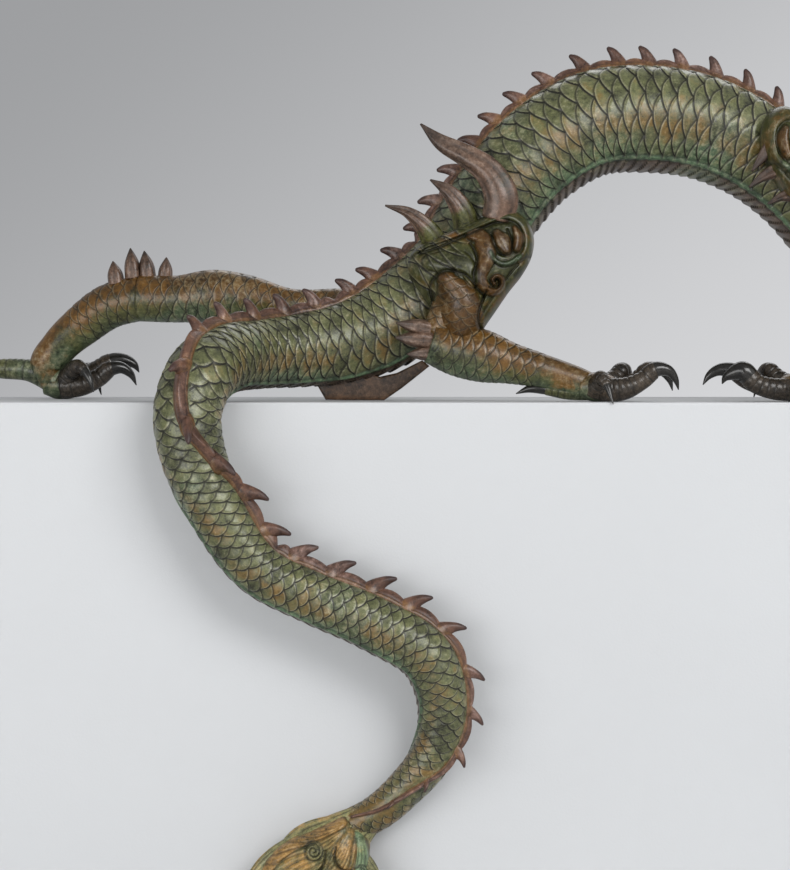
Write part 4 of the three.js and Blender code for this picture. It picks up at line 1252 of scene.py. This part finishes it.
tuftTones = {"ochre": 0.62, "teal": 0.38, "upperLock": (0.85, 0.2), "middleLock": (0.7, 0.35),
             "rightLock": (0.35, 0.7), "lowerLock": (0.7, 0.3)}


def tuftHair(x, h):
    # fine lines of equal bearing from the neck, bent with distance; each spiral is a
    # groove of constant pitch, r = pitch * turn, that fades out at its rim
    dx, dh = x - tuftFront["neck"][0], h - tuftFront["neck"][1]
    far = np.hypot(dx, dh)
    bearing = np.arctan2(dh, dx) + 0.0035 * far + 0.03 * np.sin(far / 9.0)
    line = np.cos(tuftFront["hairs"] * bearing)
    strength = smoothStep(10, 40, far)
    more = tuftFront["hairDepth"] * line * strength
    darkShare = 0.5 * smoothStep(0.45, 0.95, -line) * strength
    for sx, sh, size in tuftFront["spirals"]:
        r = np.hypot(x - sx, h - sh)
        turn = np.arctan2(h - sh, x - sx)
        phase = np.cos(2 * np.pi * r / (size / 2.1) - turn)
        inside = 1 - smoothStep(0.92, 1.08, r / size)
        dome = tuftFront["spiralDepth"] * np.sqrt(np.maximum(1 - (r / size) ** 2, 0)) + 0.8 * phase
        more = more + inside * (dome - more)
        darkShare = darkShare + inside * (0.9 * smoothStep(0.2, 0.9, -phase) - darkShare)
        darkShare = np.maximum(darkShare, 0.9 * np.exp(-((r - size * 1.08) / 0.9) ** 2))
    return more, darkShare


addPiece("tailTuftFront", [carvedPlate(tuftFront, tuftTones, extra=tuftHair)], tuftBronze)
print("tuft ready")

# head
skull = [[-34, 0, -4, 30, 30], [0, 0, 2, 37, 34], [26, 0, 8, 35, 35], [52, 0, 6, 26, 30],
  [76, 0, 0, 17, 23], [98, 0, -1, 15, 20], [112, 0, 4, 14, 17], [120, 0, 3, 8, 10]]
jaw = [[-4, 0, -22, 14, 22], [30, 0, -36, 10, 19], [62, 0, -42, 8, 16], [88, 0, -40, 7, 13],
  [102, 0, -34, 4, 7]]
headPairs = [
  [[4, 14, 32, 8], [-14, 20, 52, 8], [-42, 26, 70, 6.5], [-74, 30, 80, 5], [-104, 30, 98, 0.8]],
  [[-36, 25, 66, 6], [-44, 30, 86, 5], [-40, 32, 108, 0.8]],
  [[-8, 30, 14, 6, 9], [-28, 44, 22, 4, 11], [-54, 54, 36, 0.8, 1]],
  [[18, 25, 22, 9], [38, 27, 32, 9], [56, 22, 28, 7], [66, 16, 18, 4]],
  [[92, 9, 8, 8], [106, 12, 14, 8.5], [117, 12, 12, 6]],
  [[92, 15, -6, 4], [94, 15, -20, 3.5], [92, 15, -32, 0.6]],
  [[84, 10, -38, 4], [86, 11, -26, 3], [84, 11, -14, 0.6]],
  [[100, 14, 0, 5], [112, 30, -4, 4], [112, 46, 10, 3], [100, 54, 30, 2.4], [84, 58, 52, 0.8]],
  [[-6, 26, 0, 13], [-32, 38, -4, 10], [-62, 48, 6, 6], [-86, 52, 22, 0.8]],
  [[-2, 26, -14, 13], [-26, 38, -26, 10], [-54, 46, -26, 6], [-80, 52, -14, 0.8]],
  [[4, 22, -26, 12], [-16, 32, -46, 9], [-42, 38, -54, 6], [-68, 44, -48, 0.8]],
  [[18, 16, -36, 10], [4, 20, -60, 8], [-18, 24, -76, 5], [-40, 30, -78, 0.8]],
]
beard = [[[66, 0, -42, 9, 12], [60, 0, -62, 7, 10], [46, 0, -82, 5, 6], [30, 0, -100, 0.8, 1]],
  [[84, 4, -40, 7, 9], [82, 6, -58, 5, 6], [72, 8, -78, 0.8, 1]]]

# teeth are first and last place along the jaw and count; counts are rows and points around
head = {"origin": [563, 98, 311], "scale": 1.12, "teeth": (46, 84, 5), "bigCounts": (60, 60),
        "lockCounts": (34, 22), "eyeCounts": (20, 20), "toothCounts": (10, 10)}
eye = [[35, 26, 15, 1.5], [41, 28, 16, 8.5], [47, 27, 15, 1.5]]


def headShell(rows, counts, ochre, teal, sign=1):
    # rows are forward, sideways and up from the back of the skull; sign mirrors them
    origin = np.array(head["origin"], float)
    rows = (np.array([row if len(row) == 5 else [*row, row[3]] for row in rows], float)
            * head["scale"])

    def to(path):
        return place(np.stack([origin[0] + path[..., 0], origin[1] - path[..., 1] * sign,
                               origin[2] + path[..., 2]], -1))

    return sweepShell(rows.tolist(), *counts, upward, to,
                      values=lambda t, a, length: plainValues(t, a, ochre, teal))


headShells = [headShell(skull, head["bigCounts"], 0.5, 0.4),
              headShell(jaw, head["bigCounts"], 0.55, 0.35)]
headShells += [headShell(rows, head["lockCounts"], 0.6, 0.3, sign)
               for rows in headPairs for sign in (1, -1)]
headShells += [headShell(rows, head["lockCounts"], 0.6, 0.3) for rows in beard]
headShells += [headShell(eye, head["eyeCounts"], 0.2, 0.9, sign) for sign in (1, -1)]
for forward in np.linspace(*head["teeth"]):
    tooth = [[forward, 14, -12, 3.0], [forward, 14, -20, 2.4], [forward, 14, -27, 0.5]]
    headShells += [headShell(tooth, head["toothCounts"], 0.9, 0.1, sign) for sign in (1, -1)]
addPiece("head", headShells, limbBronze)
print("head ready")

# painted block
block = {"colour": (0.59, 0.60, 0.61), "scuffColour": (0.60, 0.61, 0.61), "roughness": 0.55,
         "specular": 0.35, "bump": 0.00012, "scuffShare": 0.12,
         "drift": (2.2, 2.0, 0.5), "stipple": (420.0, 3.0, 0.6), "scuff": (9.0, 8.0, 0.75),
         "driftStep": (0.3, 0.7), "scuffStep": (0.66, 0.74), "driftRange": (0.975, 1.01)}


def paintMaterial():
    # flat light paint: slow colour drift, roller stipple and a few scuffs
    material = bpy.data.materials.new("blockPaint")
    material.use_nodes = True
    tree = material.node_tree
    surface = tree.nodes["Principled BSDF"]
    where = tree.nodes.new("ShaderNodeTexCoord").outputs["Object"]
    drift, stipple, scuff = (noiseOf(tree, where, *block[label])
                             for label in ("drift", "stipple", "scuff"))
    scuffed = scuff.ramp(*block["scuffStep"]) * block["scuffShare"]
    dull, bright = (tuple(value * share for value in block["colour"])
                    for share in block["driftRange"])
    colour = blendColour(tree, drift.ramp(*block["driftStep"]), dull, bright)
    colour = blendColour(tree, scuffed, colour, block["scuffColour"])
    for label, value in (("Base Color", colour), ("Roughness", block["roughness"]),
                         ("Specular IOR Level", block["specular"])):
        feed(tree, surface.inputs[label], value)
    feed(tree, surface.inputs["Roughness"], mathNode(tree, "SUBTRACT", block["roughness"], scuffed))
    bumpOf(tree, surface, block["bump"], stipple)
    return material


blockPaint = paintMaterial()
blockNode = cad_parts["plinth"]
if not blockNode.data.materials:
    blockNode.data.materials.append(blockPaint)
for materialSlot in blockNode.material_slots:
    materialSlot.material = blockPaint
print("block painted")

# stage, light and camera: places are from the block's front edge, in metres
studio = {"lens": 107.6, "sensor": 36.0, "eye": (-0.170, -2.600, 0.038), "tilt": 1.56,
          "clip": (0.05, 60.0), "floor": 14.0, "floorColour": (0.60, 0.605, 0.61),
          "floorRoughness": 0.8, "airDark": (0.34, 0.345, 0.355), "airLight": (0.67, 0.675, 0.69),
          "airSlope": 1.3, "airStep": (-0.34, 0.22)}
# name, place, width and height, power in watts
lamps = [
    ("keyBox", (1.8, -3.2, 1.9), (2.5, 1.8), 108.0),
    ("fillBox", (-2.4, -3.4, -0.1), (3.4, 2.2), 98.0),
    ("backBox", (0.6, 3.41, 2.6), (3.0, 1.2), 24.0),
]
frontEdge = Vector((0.0, frontY, topZ))


def hold(name, data, at):
    holder = bpy.data.objects.new(name, data)
    holder.location = frontEdge + Vector(at)
    bpy.context.scene.collection.objects.link(holder)
    return holder


for name, at, size, power in lamps:
    lamp = bpy.data.lights.new(name, "AREA")
    lamp.shape = "RECTANGLE"
    lamp.size, lamp.size_y = size
    lamp.energy = power
    lampHolder = hold(name, lamp, at)
    lampHolder.rotation_euler = (-Vector(at)).to_track_quat("-Z", "Y").to_euler()

# the air grows lighter to the right and toward the horizon
world = bpy.data.worlds.new("studioAir")
bpy.context.scene.world = world
world.use_nodes = True
air = world.node_tree
background = air.nodes["Background"]
across, deep, high = splitVector(air, air.nodes.new("ShaderNodeTexCoord").outputs["Generated"])
blend = (across - high * studio["airSlope"]).ramp(*studio["airStep"])
feed(air, background.inputs["Color"],
     blendColour(air, blend, studio["airDark"], studio["airLight"]))
background.inputs["Strength"].default_value = 1.0

bpy.ops.mesh.primitive_plane_add(size=2 * studio["floor"], location=(0, 0, 0))
floor = bpy.context.object
floor.name = "studioFloor"
floorPaint = bpy.data.materials.new("studioFloor")
floorPaint.use_nodes = True
floorSurface = floorPaint.node_tree.nodes["Principled BSDF"]
feed(floorPaint.node_tree, floorSurface.inputs["Base Color"], studio["floorColour"])
floorSurface.inputs["Roughness"].default_value = studio["floorRoughness"]
floor.data.materials.append(floorPaint)

camera = bpy.data.cameras.new("mainCamera")
camera.lens = studio["lens"]
camera.sensor_width = studio["sensor"]
camera.clip_start, camera.clip_end = studio["clip"]
cameraHolder = hold("mainCamera", camera, studio["eye"])
cameraHolder.rotation_euler = (math.radians(90 - studio["tilt"]), 0, 0)
bpy.context.scene.camera = cameraHolder
bpy.context.scene.view_settings.view_transform = "Standard"

pieces = [item for item in bpy.data.objects if item.type == "MESH" and item is not floor]
print("triangles", sum(sum(len(face.vertices) - 2 for face in item.data.polygons)
                       for item in pieces if item.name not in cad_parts))
